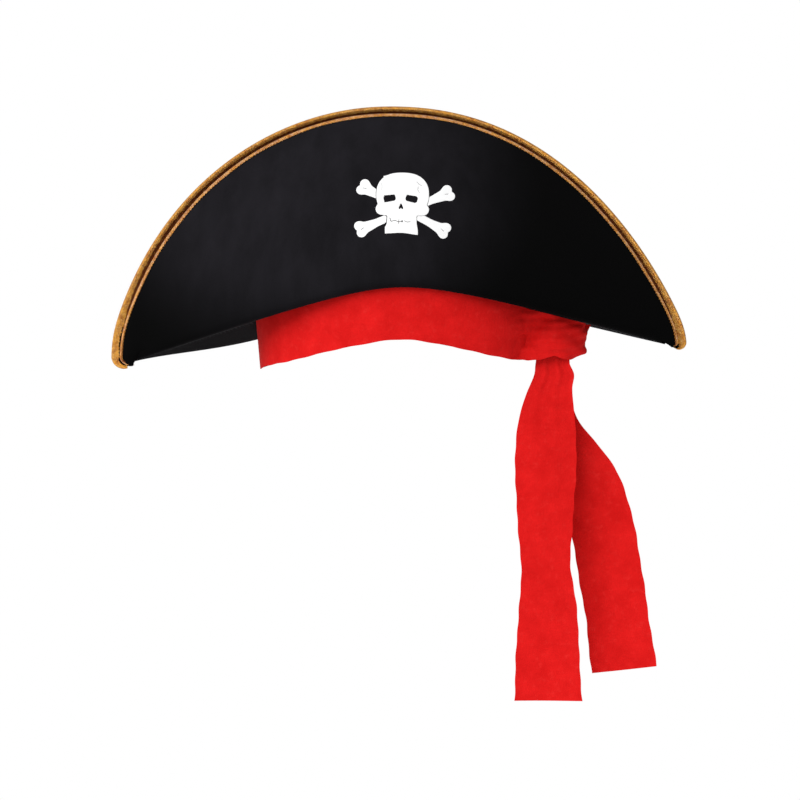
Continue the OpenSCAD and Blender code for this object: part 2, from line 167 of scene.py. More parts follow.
class Brim:
    """The two flaps' surfaces. u runs along a flap from -1 at the plain horn to 1 at the knot's."""

    def __init__(self, settings):
        self.half_w = settings.half_width / MM
        self.top = settings.crest_height / MM
        self.edge_step = settings.edge_step / MM
        self.horn_step = settings.horn_step / MM
        self.felt = settings.felt_thickness / MM
        self.crease_top = settings.crease_height / MM
        self.sag = settings.unevenness / MM

    def steps(self, side):
        """How much smaller a flap is than the back one, across and up."""
        return (self.horn_step, self.edge_step) if side == FRONT else (0.0, 0.0)

    def capped(self, v, cap):
        """v, bluntly kept within the cap."""
        big = np.maximum(np.abs(v), cap / 2)
        blunt = np.sign(v) * (big**-CAP_POWER * cap**CAP_POWER + 1) ** (-1 / CAP_POWER) * cap
        return np.where(np.abs(v) < cap / 2, v, blunt)

    def arc(self, s, side):
        """The edge before its horns curl under."""
        step_x, step_z = self.steps(side)
        low, half, p, q = (
            np.where(s > 0, pair[1], pair[0]) for pair in (HORN_Z, ARC_HALF, ARC_P, ARC_Q)
        )
        rise = self.top - step_z - ARC_BASE
        angle = s * np.arccos(((low - ARC_BASE) / rise) ** (q / 2))
        across = np.sign(angle) * np.abs(np.sin(angle)) ** (2 / p)
        wide = ARC_SHIFT + (half - step_x) * across
        z = ARC_BASE + rise * np.cos(angle) ** (2 / q)
        return self.capped(wide, self.half_w - step_x), z

    def edge(self, u, side):
        x, z = self.arc(on_arc(u), side)
        turn = HORN_TURN * past_arc(u)
        r = np.where(u > 0, HORN_R[side][1], HORN_R[side][0])
        x = x - np.sign(u) * r * (1 - np.cos(turn))
        z = z - r * np.sin(turn)
        out = between(EDGE_D_MID, EDGE_D_HORN, (x / self.half_w) ** 2)
        return np.stack([x, side * out, z], -1)

    def share(self, x):
        """From 0 in the middle to 1 at the crease's end."""
        return np.clip(np.abs(x) / (self.half_w - HORN_INSET_END), 0, 1)

    def crease(self, u, side):
        step_x, _ = self.steps(side)
        half = self.half_w - step_x / 2
        x = self.arc(on_arc(u), side)[0] * (half - HORN_INSET) / (self.half_w - step_x)
        x = x + np.sign(u) * past_arc(u) * (HORN_INSET - HORN_INSET_END)
        share = self.share(x)
        z = crease_z(x, self.crease_top)
        if side == BACK:
            z = z - np.where(x < 0, *BACK_DROPS) * np.sin(np.pi * share) ** 1.5
        return np.stack([x, side * between(HORN_D, TROUGH_D, 1 - share**2), z], -1)

    def root(self, u, side):
        """Where a flap is sewn to the crown."""
        x = self.crease(u, side)[..., 0]
        inside = np.maximum(0, 1 - (x / (HEAD_HALF_W + ROOT_OFF)) ** 2)
        y = np.maximum(KEEL_HALF_GAP, (HEAD_HALF_D + ROOT_OFF) * np.sqrt(inside))
        z = crease_z(x, self.crease_top) + ROOT_RISE * (1 - (x / self.half_w) ** 2)
        return np.stack([x, side * y, z], -1)

    def relief(self, p, t):
        """Soft hollows and swells of the laminate, none at the crease or the edge."""
        x, z = p[..., 0], p[..., 2]
        wave = (
            np.sin(x / 41 + 0.6) * np.sin(z / 33 + 1.1)
            + 0.6 * np.sin(x / 19 - z / 47 + 2.0)
            + 0.35 * np.sin(x / 11 + z / 15)
        )
        return self.sag * wave * np.sin(np.pi * np.clip(t, 0, 1)) ** 0.7

    def wall(self, u, t, side):
        """The flap above its crease, t from 0 to 1 at its edge."""
        edge, crease, root = self.edge(u, side), self.crease(u, side), self.root(u, side)
        r = self.fold_radius(u, crease, root)
        x = between(crease[..., 0], edge[..., 0], t)
        y = between(edge[..., 1], crease[..., 1], 1 - t**LEAN_POWER)
        z = between(crease[..., 2] + r, edge[..., 2], t)
        return np.stack([x, y, z], -1)

    def fold_radius(self, u, crease, root):
        """The crease's radius, smaller where there is little room."""
        room = 0.8 * (np.abs(crease[..., 1]) - np.abs(root[..., 1]))
        return np.minimum(FOLD_R, room) * (1 - 0.6 * past_arc(u))

    def flap(self, us, side, under_rows=8, fold_rows=8, wall_rows=56):
        u = us[:, None]
        crease, root = self.crease(u, side), self.root(u, side)
        r = self.fold_radius(u, crease, root)[..., None]
        start = crease - np.concatenate([0 * r, side * r, 0 * r], -1)
        k = np.linspace(0, 1, under_rows)[:-1][None, :, None]
        under = between(root, start, k)
        a = np.linspace(0, np.pi / 2, fold_rows)[None, :-1, None]
        fold = np.concatenate(
            [
                crease[..., :1] + 0 * a,
                crease[..., 1:2] - side * r * (1 - np.sin(a)),
                crease[..., 2:] + r * (1 - np.cos(a)),
            ],
            -1,
        )
        t = np.linspace(0, 1, wall_rows)[None, :]
        wall = self.wall(u, t, side)
        normal = unit(np.cross(np.gradient(wall, axis=0), np.gradient(wall, axis=1)))
        wall = wall + self.relief(wall, t)[..., None] * normal
        return np.concatenate([under, fold, wall], 1)


def horn_to_horn(per_side, per_horn):
    """Values of u, closer together round the horns."""
    long = np.linspace(-TURN_START, TURN_START, 2 * per_side + 1)
    horn = np.linspace(TURN_START, 1, per_horn + 1)[1:]
    return np.concatenate([-horn[::-1], long, horn])


def ring_point(angle, off, height):
    """Round the head at a distance off outside the crown's inner face, at height(x, angle)."""
    x = (HEAD_HALF_W + off) * np.cos(angle)
    z = height(x, angle)
    inner = off - taper(z, x, angle)
    return np.stack(
        [(HEAD_HALF_W + inner) * np.cos(angle), (HEAD_HALF_D + inner) * np.sin(angle), z], -1
    )


def ring_rows(angle, off, height, count):
    """Rows of ring points, at height(x, angle, k) with k from 0 to 1."""
    rows = []
    for k in np.linspace(0, 1, count):
        rows.append(ring_point(angle, off, lambda x, a: height(x, a, k)))
    return np.stack(rows, 1)


# ---------------------------------------------------------------- meshes


def grid_normals(grid, closed=False):
    return unit(np.cross(tangents(grid, closed), np.gradient(grid, axis=1)))


def grid_faces(n, m, closed=False, first=0, flip=False):
    i = np.arange(n if closed else n - 1)[:, None]
    j = np.arange(m - 1)[None, :]
    nxt = (i + 1) % n
    quads = np.stack([i * m + j, nxt * m + j, nxt * m + j + 1, i * m + j + 1], -1).reshape(-1, 4)
    return (quads[:, ::-1] if flip else quads) + first


def shell(grid, thickness, closed=False):
    """Points, faces and a place on the sheet (u, v) for a closed shell round a grid of points."""
    n, m = grid.shape[:2]
    half = thickness / 2 * grid_normals(grid, closed)
    points = np.concatenate([(grid + half).reshape(-1, 3), (grid - half).reshape(-1, 3)])
    k = n * m
    faces = [grid_faces(n, m, closed), grid_faces(n, m, closed, k, True)]
    i = np.arange(n if closed else n - 1)
    nxt = (i + 1) % n
    low = np.stack([i * m, i * m + k, nxt * m + k, nxt * m], -1)
    high = np.stack([i * m, nxt * m, nxt * m + k, i * m + k], -1) + m - 1
    faces += [low, high]
    if not closed:
        j = np.arange(m - 1)
        faces.append(np.stack([j, j + 1, j + 1 + k, j + k], -1))
        faces.append(np.stack([j, j + k, j + 1 + k, j + 1], -1) + (n - 1) * m)
    across = np.linalg.norm(np.diff(grid, axis=1), axis=-1).mean(0)
    along = np.linalg.norm(np.diff(grid, axis=0), axis=-1).mean(1)
    v = np.concatenate([[0], np.cumsum(across)])
    u = np.concatenate([[0], np.cumsum(along)])[:n]
    place = np.stack(np.broadcast_arrays(u[:, None], v[None, :]), -1).reshape(-1, 2)
    return points, np.concatenate(faces), np.concatenate([place, place])


def tube(path, radius, sides):
    """A round thread along a path."""
    n = len(path)
    along = unit(tangents(path))
    guide = np.where(np.abs(along[:, 2:]) < 0.9, [[0.0, 0.0, 1.0]], [[1.0, 0.0, 0.0]])
    a = unit(np.cross(along, guide))
    b = np.cross(along, a)
    turn = full_turn(sides)[None, :, None]
    rings = path[:, None] + radius * (np.cos(turn) * a[:, None] + np.sin(turn) * b[:, None])
    i, j = np.arange(n - 1)[:, None] * sides, np.arange(sides)[None, :]
    side = (j + 1) % sides
    faces = np.stack([i + j, i + side, i + sides + side, i + sides + j], -1).reshape(-1, 4).tolist()
    faces.append(list(range(sides))[::-1])
    faces.append([(n - 1) * sides + k for k in range(sides)])
    return rings.reshape(-1, 3), faces


def stitches(middle, along, up, length, radius):
    """Short raised stitches, one for each middle point."""
    along, up = unit(along), unit(up)
    across = np.cross(along, up)
    station = np.array([-0.5, -0.42, -0.15, 0.15, 0.42, 0.5])
    girth = np.array([0.15, 0.75, 1.0, 1.0, 0.75, 0.15])
    height = np.array([-0.9, -0.1, 0.35, 0.35, -0.1, -0.9])
    sides = 6
    rings = []
    for s, g, h in zip(station, girth, height):
        spine = middle + along * s * length + up * h * radius
        for a in full_turn(sides):
            rings.append(spine + radius * g * (math.cos(a) * across + math.sin(a) * up))
    one = []
    for k in range(len(station) - 1):
        for j in range(sides):
            a, b = k * sides + j, k * sides + (j + 1) % sides
            one.append([a, a + sides, b + sides, b])
    each = len(rings)
    first = each * np.arange(len(middle))
    faces = (np.array(one)[None] + first[:, None, None]).reshape(-1, 4).tolist()
    for start in first.tolist():
        faces.append([start + j for j in range(sides)])
        faces.append([start + each - 1 - j for j in range(sides)])
    return np.stack(rings, 1).reshape(-1, 3), faces


def add_object(name, data):
    thing = bpy.data.objects.new(name, data)
    bpy.context.scene.collection.objects.link(thing)
    return thing


def piece(name, points, faces, body, material, place=None, sharp=None):
    """Adds a smooth-shaded mesh from millimetres, on a body, with one material."""
    mesh = bpy.data.meshes.new(name)
    faces = faces.tolist() if hasattr(faces, "tolist") else faces
    mesh.from_pydata((points * MM).tolist(), [], faces)
    mesh.polygons.foreach_set("use_smooth", [True] * len(mesh.polygons))
    if place is not None:
        layer = mesh.uv_layers.new(name="Cloth")
        corner = np.empty(len(mesh.loops), np.int32)
        mesh.loops.foreach_get("vertex_index", corner)
        layer.data.foreach_set("uv", (place[corner] * MM).astype(np.float32).ravel())
    if sharp is not None:
        mesh.set_sharp_from_angle(angle=math.radians(sharp))
    mesh.materials.append(material)
    mesh.validate()
    thing = add_object(name, mesh)
    if body:
        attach(thing, body)
    return thing


def sheet(name, grid, thickness, slot, material, body="hat", closed=False):
    """Adds a grid of points as a sheet of this thickness."""
    points, faces, place = shell(grid, thickness, closed)
    return piece(name, points, faces, body, material, place, 50)


def threads(name, parts, material):
    """Adds several rows of thread as one piece."""
    points, faces, first = [], [], 0
    for some_points, some_faces in parts:
        points.append(some_points)
        faces += [[v + first for v in face] for face in some_faces]
        first += len(some_points)
    piece(name, np.concatenate(points), faces, "hat", material)


# ---------------------------------------------------------------- materials


class Finish:
    """A material and the few node shapes that every finish here is made of."""

    def __init__(self, name, **sockets):
        self.material = bpy.data.materials.new(name)
        self.material.use_nodes = True
        self.tree = self.material.node_tree
        self.shader = self.tree.nodes["Principled BSDF"]
        for socket, value in sockets.items():
            self.shader.inputs[socket.replace("_", " ")].default_value = value
        self.coords = self.add("ShaderNodeTexCoord")

    def add(self, kind, **values):
        node = self.tree.nodes.new(kind)
        for key, value in values.items():
            if hasattr(node, key):
                setattr(node, key, value)
            else:
                node.inputs[key.replace("_", " ")].default_value = value
        return node

    def link(self, source, target):
        self.tree.links.new(source, target)

    def placed(self, scale, rotation=(0, 0, 0), shift=(0, 0, 0), cloth=False):
        mapping = self.add("ShaderNodeMapping", Scale=scale, Rotation=rotation, Location=shift)
        self.link(self.coords.outputs["UV" if cloth else "Object"], mapping.inputs["Vector"])
        return mapping.outputs["Vector"]

    def noise(self, scale, detail=2.0, rough=0.5, place=None, low=0.0, high=1.0):
        node = self.add("ShaderNodeTexNoise", Scale=scale, Detail=detail, Roughness=rough)
        self.link(place or self.coords.outputs["Object"], node.inputs["Vector"])
        spread = self.add("ShaderNodeMapRange", From_Min=low, From_Max=high)
        self.link(node.outputs["Fac"], spread.inputs["Value"])
        return spread.outputs["Result"]

    def waves(self, scale, place, distortion=0.0, direction="X"):
        node = self.add(
            "ShaderNodeTexWave", bands_direction=direction, Scale=scale, Distortion=distortion
        )
        self.link(place, node.inputs["Vector"])
        return node.outputs["Fac"]

    def times(self, a, b):
        return self.combine("MULTIPLY", a, b)

    def plus(self, a, b):
        return self.combine("ADD", a, b)

    def combine(self, operation, a, b):
        node = self.add("ShaderNodeMath", operation=operation)
        for index, value in enumerate((a, b)):
            if isinstance(value, (int, float)):
                node.inputs[index].default_value = value
            else:
                self.link(value, node.inputs[index])
        return node.outputs["Value"]

    def blend(self, amount, a, b):
        node = self.add("ShaderNodeMix", data_type="RGBA")
        self.link(amount, node.inputs["Factor"])
        for index, value in ((6, a), (7, b)):
            if hasattr(value, "is_linked"):
                self.link(value, node.inputs[index])
            else:
                node.inputs[index].default_value = (*value[:3], 1)
        return node.outputs[2]

    def colour(self, value):
        self.link(value, self.shader.inputs["Base Color"])

    def roughness(self, value, low, high):
        spread = self.add("ShaderNodeMapRange", To_Min=low, To_Max=high)
        self.link(value, spread.inputs["Value"])
        self.link(spread.outputs["Result"], self.shader.inputs["Roughness"])

    def raised(self, height, depth, strength=1.0, over=None):
        node = self.add("ShaderNodeBump", Strength=strength, Distance=depth)
        self.link(height, node.inputs["Height"])
        if over:
            self.link(over, node.inputs["Normal"])
        self.link(node.outputs["Normal"], self.shader.inputs["Normal"])
        return node.outputs["Normal"]


def velour(name, dark, light):
    """Short black pile: deep black, with smaller patches and brushed streaks inside one wide area that
    is painted lighter as painted light from the upper left; outside it the pile is painted dark as
    painted shade.
    """
    f = Finish(name, Roughness=0.95, Specular_IOR_Level=0.03, Sheen_Weight=0.03, Sheen_Roughness=0.4)
    f.shader.inputs["Sheen Tint"].default_value = (0.6, 0.55, 0.65, 1)
    # Painted light: a wide soft area left of the middle and high on the hat, where the key light
    # falls.
    wide = f.add("ShaderNodeTexGradient", gradient_type="SPHERICAL")
    f.link(f.placed((4.6, 1.0, 5.6), shift=(0.33, 0, -0.84)), wide.inputs["Vector"])
    spread = f.add("ShaderNodeMapRange", From_Min=0.1, From_Max=0.6, interpolation_type="SMOOTHSTEP")
    f.link(wide.outputs["Fac"], spread.inputs["Value"])
    patches = f.noise(10, 4, 0.55, low=0.3, high=0.7)
    brushed = f.noise(1, 3, 0.6, place=f.placed((70, 70, 16), (0, 0.5, 0)), low=0.3, high=0.75)
    pile = f.noise(1300, 2, low=0.25, high=0.75)
    amount = f.times(f.plus(patches, brushed), 0.28)
    amount = f.plus(amount, f.times(pile, 0.12))
    # Painted light and shade: all the lighter pile is scaled by the painted light area, so the pile is
    # dark outside it.
    amount = f.times(f.plus(amount, 0.35), spread.outputs["Result"])
    f.colour(f.blend(amount, dark, light))
    soft = f.raised(f.noise(260, 3), 0.0004, 0.35)
    f.raised(f.noise(3600, 2), 0.00025, 0.6, soft)
    return f.material


def lame(name, gold, copper, painted_glints):
    """Woven metallic tape: fine ribs, painted glints as painted highlights, rubbed copper threads, and
    a dark band that is the stitched hem and partly painted shade.
    """
    f = Finish(name, Metallic=0.8, Roughness=0.4, Anisotropic=0.3)
    cloth = f.placed((1, 1, 1), cloth=True)
    ribs = f.waves(1250, cloth, 0.6)
    cross = f.waves(900, cloth, 0.4, "Y")
    rubbed = f.noise(260, 3, 0.65, low=0.4, high=0.62)
    # Painted highlights: glints, gathered in patches, blended towards the glint colour.
    painted_glint = f.noise(1500, 2, 0.6, low=0.42, high=0.7)
    patch = f.noise(330, 2, 0.6, low=0.34, high=0.56)
    base = f.blend(f.times(rubbed, 0.8), gold, copper)
    deep = f.blend(f.times(ribs, 0.45), base, [c * 0.5 for c in copper])
    with_painted_glints = f.blend(f.times(f.times(painted_glint, patch), 0.9), deep, painted_glints)
    split = f.add("ShaderNodeSeparateXYZ")
    f.link(cloth, split.inputs["Vector"])
    # Painted shade: from the start of the dark band inwards the tape turns deep red-brown. This stands
    # for its stitched hem and for the shade between the flaps and on the front tape near the horns.
    hem = f.add("ShaderNodeMapRange", From_Min=-0.0004, From_Max=0.0005)
    f.link(split.outputs["Y"], hem.inputs["Value"])
    wear_and_painted_shade = f.times(hem.outputs["Result"], f.plus(0.82, rubbed))
    wear_and_painted_shade = f.combine("MINIMUM", wear_and_painted_shade, 0.96)
    f.colour(f.blend(wear_and_painted_shade, with_painted_glints, (0.15, 0.028, 0.005)))
    f.roughness(painted_glint, 0.32, 0.55)
    puckers = f.raised(f.noise(420, 2), 0.0005, 0.5)
    weave = f.plus(ribs, f.times(cross, 0.6))
    f.raised(weave, 0.00012, 0.8, puckers)
    return f.material


def bonded_cloth(name, colour):
    """Soft bonded fibre cloth: cloudy colour, matted fibres and a fine embossed grain."""
    f = Finish(name, Roughness=0.7, Specular_IOR_Level=0.06, Sheen_Weight=0.02, Sheen_Roughness=0.5)
    f.shader.inputs["Sheen Tint"].default_value = (1.0, 0.75, 0.72, 1)
    clouds = f.noise(70, 4, 0.6, low=0.3, high=0.72)
    fibres = f.noise(1, 3, 0.65, place=f.placed((900, 900, 260), (0, 0.35, 0)), low=0.3, high=0.7)
    strands = f.noise(1, 3, 0.65, place=f.placed((260, 900, 900), (0, -0.3, 0)), low=0.3, high=0.7)
    pale = [min(1, c * 1.08 + 0.004) for c in colour]
    deep = [c * 0.86 for c in colour]
    base = f.blend(clouds, deep, pale)
    flecks = f.noise(210, 4, 0.6, low=0.55, high=0.78)
    base = f.blend(f.times(flecks, 0.5), base, (0.82, 0.03, 0.026))
    mat = f.times(f.plus(fibres, strands), 0.22)
    f.colour(f.blend(mat, base, [c * 0.72 for c in colour]))
    grain = f.raised(f.noise(1500, 3, 0.6), 0.00018, 0.5)
    f.raised(f.plus(fibres, strands), 0.0001, 0.6, grain)
    return f.material


def print_ink(name, colour):
    """White transfer ink, a little worn, following the pile beneath it."""
    f = Finish(name, Roughness=0.5, Specular_IOR_Level=0.4)
    wear_and_painted_shade = f.noise(900, 4, 0.7, low=0.62, high=0.8)
    clouds = f.noise(90, 2, low=0.3, high=0.7)
    base = f.blend(clouds, [c * 0.95 for c in colour], colour)
    f.colour(f.blend(f.times(wear_and_painted_shade, 0.25), base, (0.35, 0.35, 0.37)))
    f.raised(f.noise(1200, 3), 0.0001, 0.4)
    return f.material


def ribbon(name, colour):
    """Ribbed ribbon, with fine ribs across its length."""
    f = Finish(name, Roughness=0.55, Specular_IOR_Level=0.35, Sheen_Weight=0.2)
    cloth = f.placed((1, 1, 1), cloth=True)
    ribs = f.waves(330, cloth)
    f.colour(f.blend(ribs, [c * 0.55 for c in colour], [min(1, c * 1.5) for c in colour]))
    fine = f.raised(ribs, 0.0003, 0.8)
    f.raised(f.noise(2600, 2), 0.0001, 0.4, fine)
    return f.material


def sewing_thread(name, colour, gloss=0.5):
    """Twisted thread."""
    f = Finish(name, Roughness=gloss, Specular_IOR_Level=0.4)
    twist = f.waves(1400, f.placed((1, 1, 1), (0.6, 0.3, 0.6)))
    f.colour(f.blend(twist, [c * 0.6 for c in colour], colour))
    f.raised(twist, 0.00008, 0.7)
    return f.material


def floor_paint(name, colour):
    f = Finish(name, Roughness=0.9, Specular_IOR_Level=0.1)
    f.colour(f.blend(f.noise(3, 3), [c * 0.99 for c in colour], colour))
    return f.material


# ---------------------------------------------------------------- settings


def number(name, description, default, low, high, **kind):
    return bpy.props.FloatProperty(
        name=name, description=description, default=default, min=low, max=high, **kind
    )


def length(name, description, default, low, high):
    kind = {"unit": "LENGTH", "subtype": "DISTANCE", "precision": 4}
    return number(name, description, default, low, high, **kind)


def angle(name, description, degrees, most):
    kind = {"unit": "ROTATION", "subtype": "ANGLE"}
    return number(name, description, math.radians(degrees), -most, most, **kind)


def shade(name, description, default):
    return bpy.props.FloatVectorProperty(
        name=name, description=description, default=default, size=3, min=0, max=1, subtype="COLOR"
    )


class BrimSettings(bpy.types.PropertyGroup):
    half_width: length("Half width", "From the middle to a horn", 0.2295, 0.2, 0.26)
    crest_height: length("Crest height", "Back flap's crest above the opening", 0.207, 0.18, 0.23)
    edge_step: length("Edge step", "How much lower the front flap's crest is", 0.0072, 0.003, 0.012)
    horn_step: length("Horn step", "How far the front flap's horns stay inside", 0.0076, 0.003, 0.01)
    felt_thickness: length("Felt", "Thickness of the velour laminate", 0.0026, 0.0015, 0.004)
    crease_height: length("Crease height", "Front crease above the opening", 0.061, 0.05, 0.07)
    unevenness: length("Unevenness", "Depth of the felt's soft hollows", 0.0007, 0, 0.003)
    # The brushed pile colour is also the painted light over the upper left of the hat, and the pile
    # colour is also the painted shade everywhere else.
    pile_dark: shade("Pile", "Colour of the pile in its darker patches", (0.0018, 0.0018, 0.0018))
    pile_light: shade("Brushed pile", "Colour of the brushed patches", (0.0150, 0.0139, 0.0170))


class TrimSettings(bpy.types.PropertyGroup):
    tape_thickness: length("Tape", "Thickness of the gold tape", 0.0006, 0.0003, 0.001)
    stitch_pitch: length("Stitch pitch", "Length of one zigzag stitch", 0.0026, 0.0015, 0.005)
    # The gold is also the back tape's painted light, and the copper is also the front tape's painted
    # shade, besides the tape's own bright and rubbed threads.
    gold: shade("Gold", "Bright threads of the tape", (1.0, 0.46, 0.06))
    copper: shade("Copper", "Rubbed threads of the tape", (0.50, 0.14, 0.034))
    # The glint colour is the front tape's painted highlights.
    painted_glints: shade("Glints", "Brightest threads of the front tape", (1.0, 0.72, 0.50))
    print_width: length("Skull width", "Width of the printed skull", 0.0415, 0.03, 0.055)
    print_turn: angle("Print turn", "How far askew the print sits", -2.4, 0.3)
    ink: shade("Ink", "Colour of the print", (0.90, 0.90, 0.90))


class SashSettings(bpy.types.PropertyGroup):
    cloth_thickness: length("Cloth", "Thickness of the sash cloth", 0.0006, 0.0003, 0.001)
    strip_width: length("Strip width", "Width the sash is cut to", 0.052, 0.04, 0.065)
    red: shade("Red", "Colour of the sash", (0.725, 0.0068, 0.0064))


class StageSettings(bpy.types.PropertyGroup):
    floor_drop: length("Floor drop", "Floor below the opening", 0.95, 0.3, 2.0)
    camera_distance: length("Camera distance", "From the camera to the hat", 2.13, 1.0, 5.0)
    lens: number("Lens", "Focal length", 120, 35, 200, unit="CAMERA", subtype="DISTANCE_CAMERA")
    roll: angle("Roll", "How far the camera is tipped sideways", 1.2, 0.2)
    fill_strength: number("Fill light", "Strength of the light all round", 0.6, 0, 2)
    key_strength: number("Key light", "Strength of the main light", 2.38, 0, 10)


# ---------------------------------------------------------------- brim and crown


class HAT_OT_brim(bpy.types.Operator):
    """Add the front and back flaps of the brim"""

    bl_idname = "pirate_hat.brim"
    bl_label = "Brim flaps"

    def execute(self, context):
        settings = context.scene.hat_brim
        brim = Brim(settings)
        material = velour("Black velour", settings.pile_dark, settings.pile_light)
        us = horn_to_horn(150, 14)
        for side, name in ((FRONT, "front_flap"), (BACK, "back_flap")):
            grid = brim.flap(us, side)
            flap = sheet(name + "_velour", grid, brim.felt, "black_velour", material)
            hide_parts(name)
        return {"FINISHED"}


class HAT_OT_brim_seam(bpy.types.Operator):
    """Add the stitches of the brim's seam under the crease, and give the thread tacks their finish"""

    bl_idname = "pirate_hat.brim_seam"
    bl_label = "Brim seam"

    def execute(self, context):
        brim = Brim(context.scene.hat_brim)
        thread = sewing_thread("Black thread", (0.03, 0.03, 0.036))
        us = np.linspace(-0.94, 0.94, 150)
        for side, name in ((FRONT, "front"), (BACK, "back")):
            root, crease = brim.root(us, side), brim.crease(us, side)
            room = np.abs(crease[:, 1] - root[:, 1])
            inset = np.minimum(3.0, 0.4 * room)[:, None]
            middle = root + inset * unit(crease - root) - [0, 0, brim.felt / 2]
            up = np.tile([0.0, 0.0, -1.0], (len(us), 1))
            row = stitches(middle, tangents(middle), up, 2.4, 0.22)
            threads(name + "_brim_seam_stitches", [row], thread)
        for node in ("horn_tacks", "brim_tacks", "label_stitches"):
            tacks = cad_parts[node]
            tacks.data.materials.clear()
            tacks.data.materials.append(thread)
        return {"FINISHED"}


class HAT_OT_crown(bpy.types.Operator):
    """Add the crown's two halves, its flat top and their seams"""

    bl_idname = "pirate_hat.crown"
    bl_label = "Crown"

    def surface(self, angle, k, top):
        """k from 0 at the opening to 1 where the wall bends in, then to 2 at the flat top."""
        x = (HEAD_HALF_W + CROWN_OFF) * np.cos(angle)
        z = between(open_z(x, angle), SHOULDER_Z, np.clip(k, 0, 1))
        drawn_in = taper(z, x, angle)
        bend = np.pi / 2 * np.clip(k - 1, 0, 1)
        share = between(CROWN_TIP_SHARE, 1, np.cos(bend))
        z = np.where(k > 1, SHOULDER_Z + (top - SHOULDER_Z) * np.sin(bend), z)
        x = (HEAD_HALF_W + CROWN_OFF - drawn_in) * share * np.cos(angle)
        y = (HEAD_HALF_D + CROWN_OFF - drawn_in) * share * np.sin(angle)
        return np.stack([x, y, z], -1)

    def execute(self, context):
        brim = Brim(context.scene.hat_brim)
        # The crown felt has the same painted light area and painted shade as the flaps' velour.
        felt = velour("Crown felt", (0.004, 0.004, 0.005), (0.012, 0.012, 0.014))
        thread = sewing_thread("Crown thread", (0.05, 0.05, 0.056))
        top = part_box("crown_top")[1].z / MM - brim.felt / 2
        k = np.linspace(0, 2, 45)[None, :]
        for side, name in ((FRONT, "crown_front"), (BACK, "crown_back")):
            turn = side * np.radians(np.linspace(0.2, 179.8, 121))[:, None]
            grid = self.surface(turn, k, top)
            wrinkle = 0.25 * np.sin(turn * 23 + 3 * k) * np.sin(np.pi * np.clip(k - 0.6, 0, 1))
            grid = grid + wrinkle[..., None] * grid_normals(grid)
            half = sheet(name + "_felt", grid, brim.felt, "crown_felt", felt)
            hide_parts(name)
        turn = full_turn(96)[:, None]
        r = np.linspace(0.02, 1, 24)[None, :]
        wide, deep = ((h + CROWN_OFF) * CROWN_TIP_SHARE - 0.3 for h in (HEAD_HALF_W, HEAD_HALF_D))
        crest = top + 0.35 * np.cos(r * np.pi * 2.2) * (1 - r)
        disc = np.stack([wide * r * np.cos(turn), deep * r * np.sin(turn), crest + 0 * turn], -1)
        lid = sheet("crown_top_felt", disc[:, ::-1], brim.felt, "crown_felt", felt, closed=True)
        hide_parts("crown_top")
        rows = []
        for end in (0.0, math.pi):
            for off in (-0.022, 0.022):
                k = np.linspace(0.1, 1.95, 46)
                path = self.surface(np.full_like(k, end + off), k, top)
                inward = unit(np.stack([0 * k - math.cos(end), 0 * k, -smooth(k - 1)], -1))
                rows.append((path + inward * brim.felt / 2, tangents(path), inward))
        turn, on_lid = full_turn(90), 0.93
        lid_row = [wide * on_lid * np.cos(turn), deep * on_lid * np.sin(turn), 0 * turn + top]
        wall_row = self.surface(turn, np.full_like(turn, 1.93), top)
        for row in (np.stack(lid_row, -1), wall_row):
            inward = np.tile([0.0, 0.0, -1.0], (len(turn), 1))
            rows.append((row + inward * brim.felt / 2, tangents(row, True), inward))
        parts = [stitches(m, a, n, 2.1, 0.2) for m, a, n in rows]
        threads("crown_seam_stitches", parts, thread)
        return {"FINISHED"}


class HAT_OT_lining(bpy.types.Operator):
    """Add the sweatband, its stitches and the blank label"""

    bl_idname = "pirate_hat.lining"
    bl_label = "Sweatband and label"

    def execute(self, context):
        weave = ribbon("Sweatband ribbon", (0.028, 0.026, 0.032))
        thread = sewing_thread("Sweatband thread", (0.06, 0.058, 0.066))
        turn, rows = full_turn(240), 12

        def height(x, angle, k):
            return open_z(x, angle) + between(1.0, 25.0, k)

        grid = ring_rows(turn, -0.5, height, rows)
        lift = 0.25 * np.sin(turn * 17)[:, None] * np.linspace(0, 1, rows)[None, :] ** 2
        grid = grid - (lift[..., None] + 0.15) * grid_normals(grid, True)
        band = sheet("sweatband_ribbon", grid, 0.6, "lining", weave, closed=True)
        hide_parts("sweatband")
        turn = full_turn(200)
        parts = []
        for height in (3.0, 22.5):
            path = ring_point(turn, -1.15, lambda x, a: open_z(x, a) + height)
            inward = -unit(path * [1, 1, 0])
            parts.append(stitches(path, tangents(path, True), inward, 2.0, 0.18))
        threads("sweatband_stitches", parts, thread)
        low, high = (np.array(c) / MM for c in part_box("care_label"))
        a = np.linspace(low[0], high[0], 25)[:, None]
        c = np.linspace(high[2], low[2], 19)[None, :]
        drop = (high[2] - c) / (high[2] - low[2])
        y = (low[1] + high[1]) / 2 - 1.6 * drop**2 * np.cos((a - 4) / 9) - 0.2 * np.sin(a / 3) * drop
        grid = np.stack(np.broadcast_arrays(a, y, c), -1)
        satin = ribbon("Label satin", (0.72, 0.71, 0.68))
        label = sheet("care_label_satin", grid, 0.3, "label_satin", satin)
        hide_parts("care_label")
        return {"FINISHED"}


# ---------------------------------------------------------------- gold tape


# Width of the tape at the crest, how much that grows towards a horn, where its dark band starts,
# and how much farther in that is at a horn. The dark band is the stitched hem and partly painted
# shade: the shade between the flaps at the crest and on the front tape's face near the horns.
TAPE = {FRONT: (2.4, -0.4, 3.0, -2.9), BACK: (6.4, 3.0, 1.9, 5.0)}


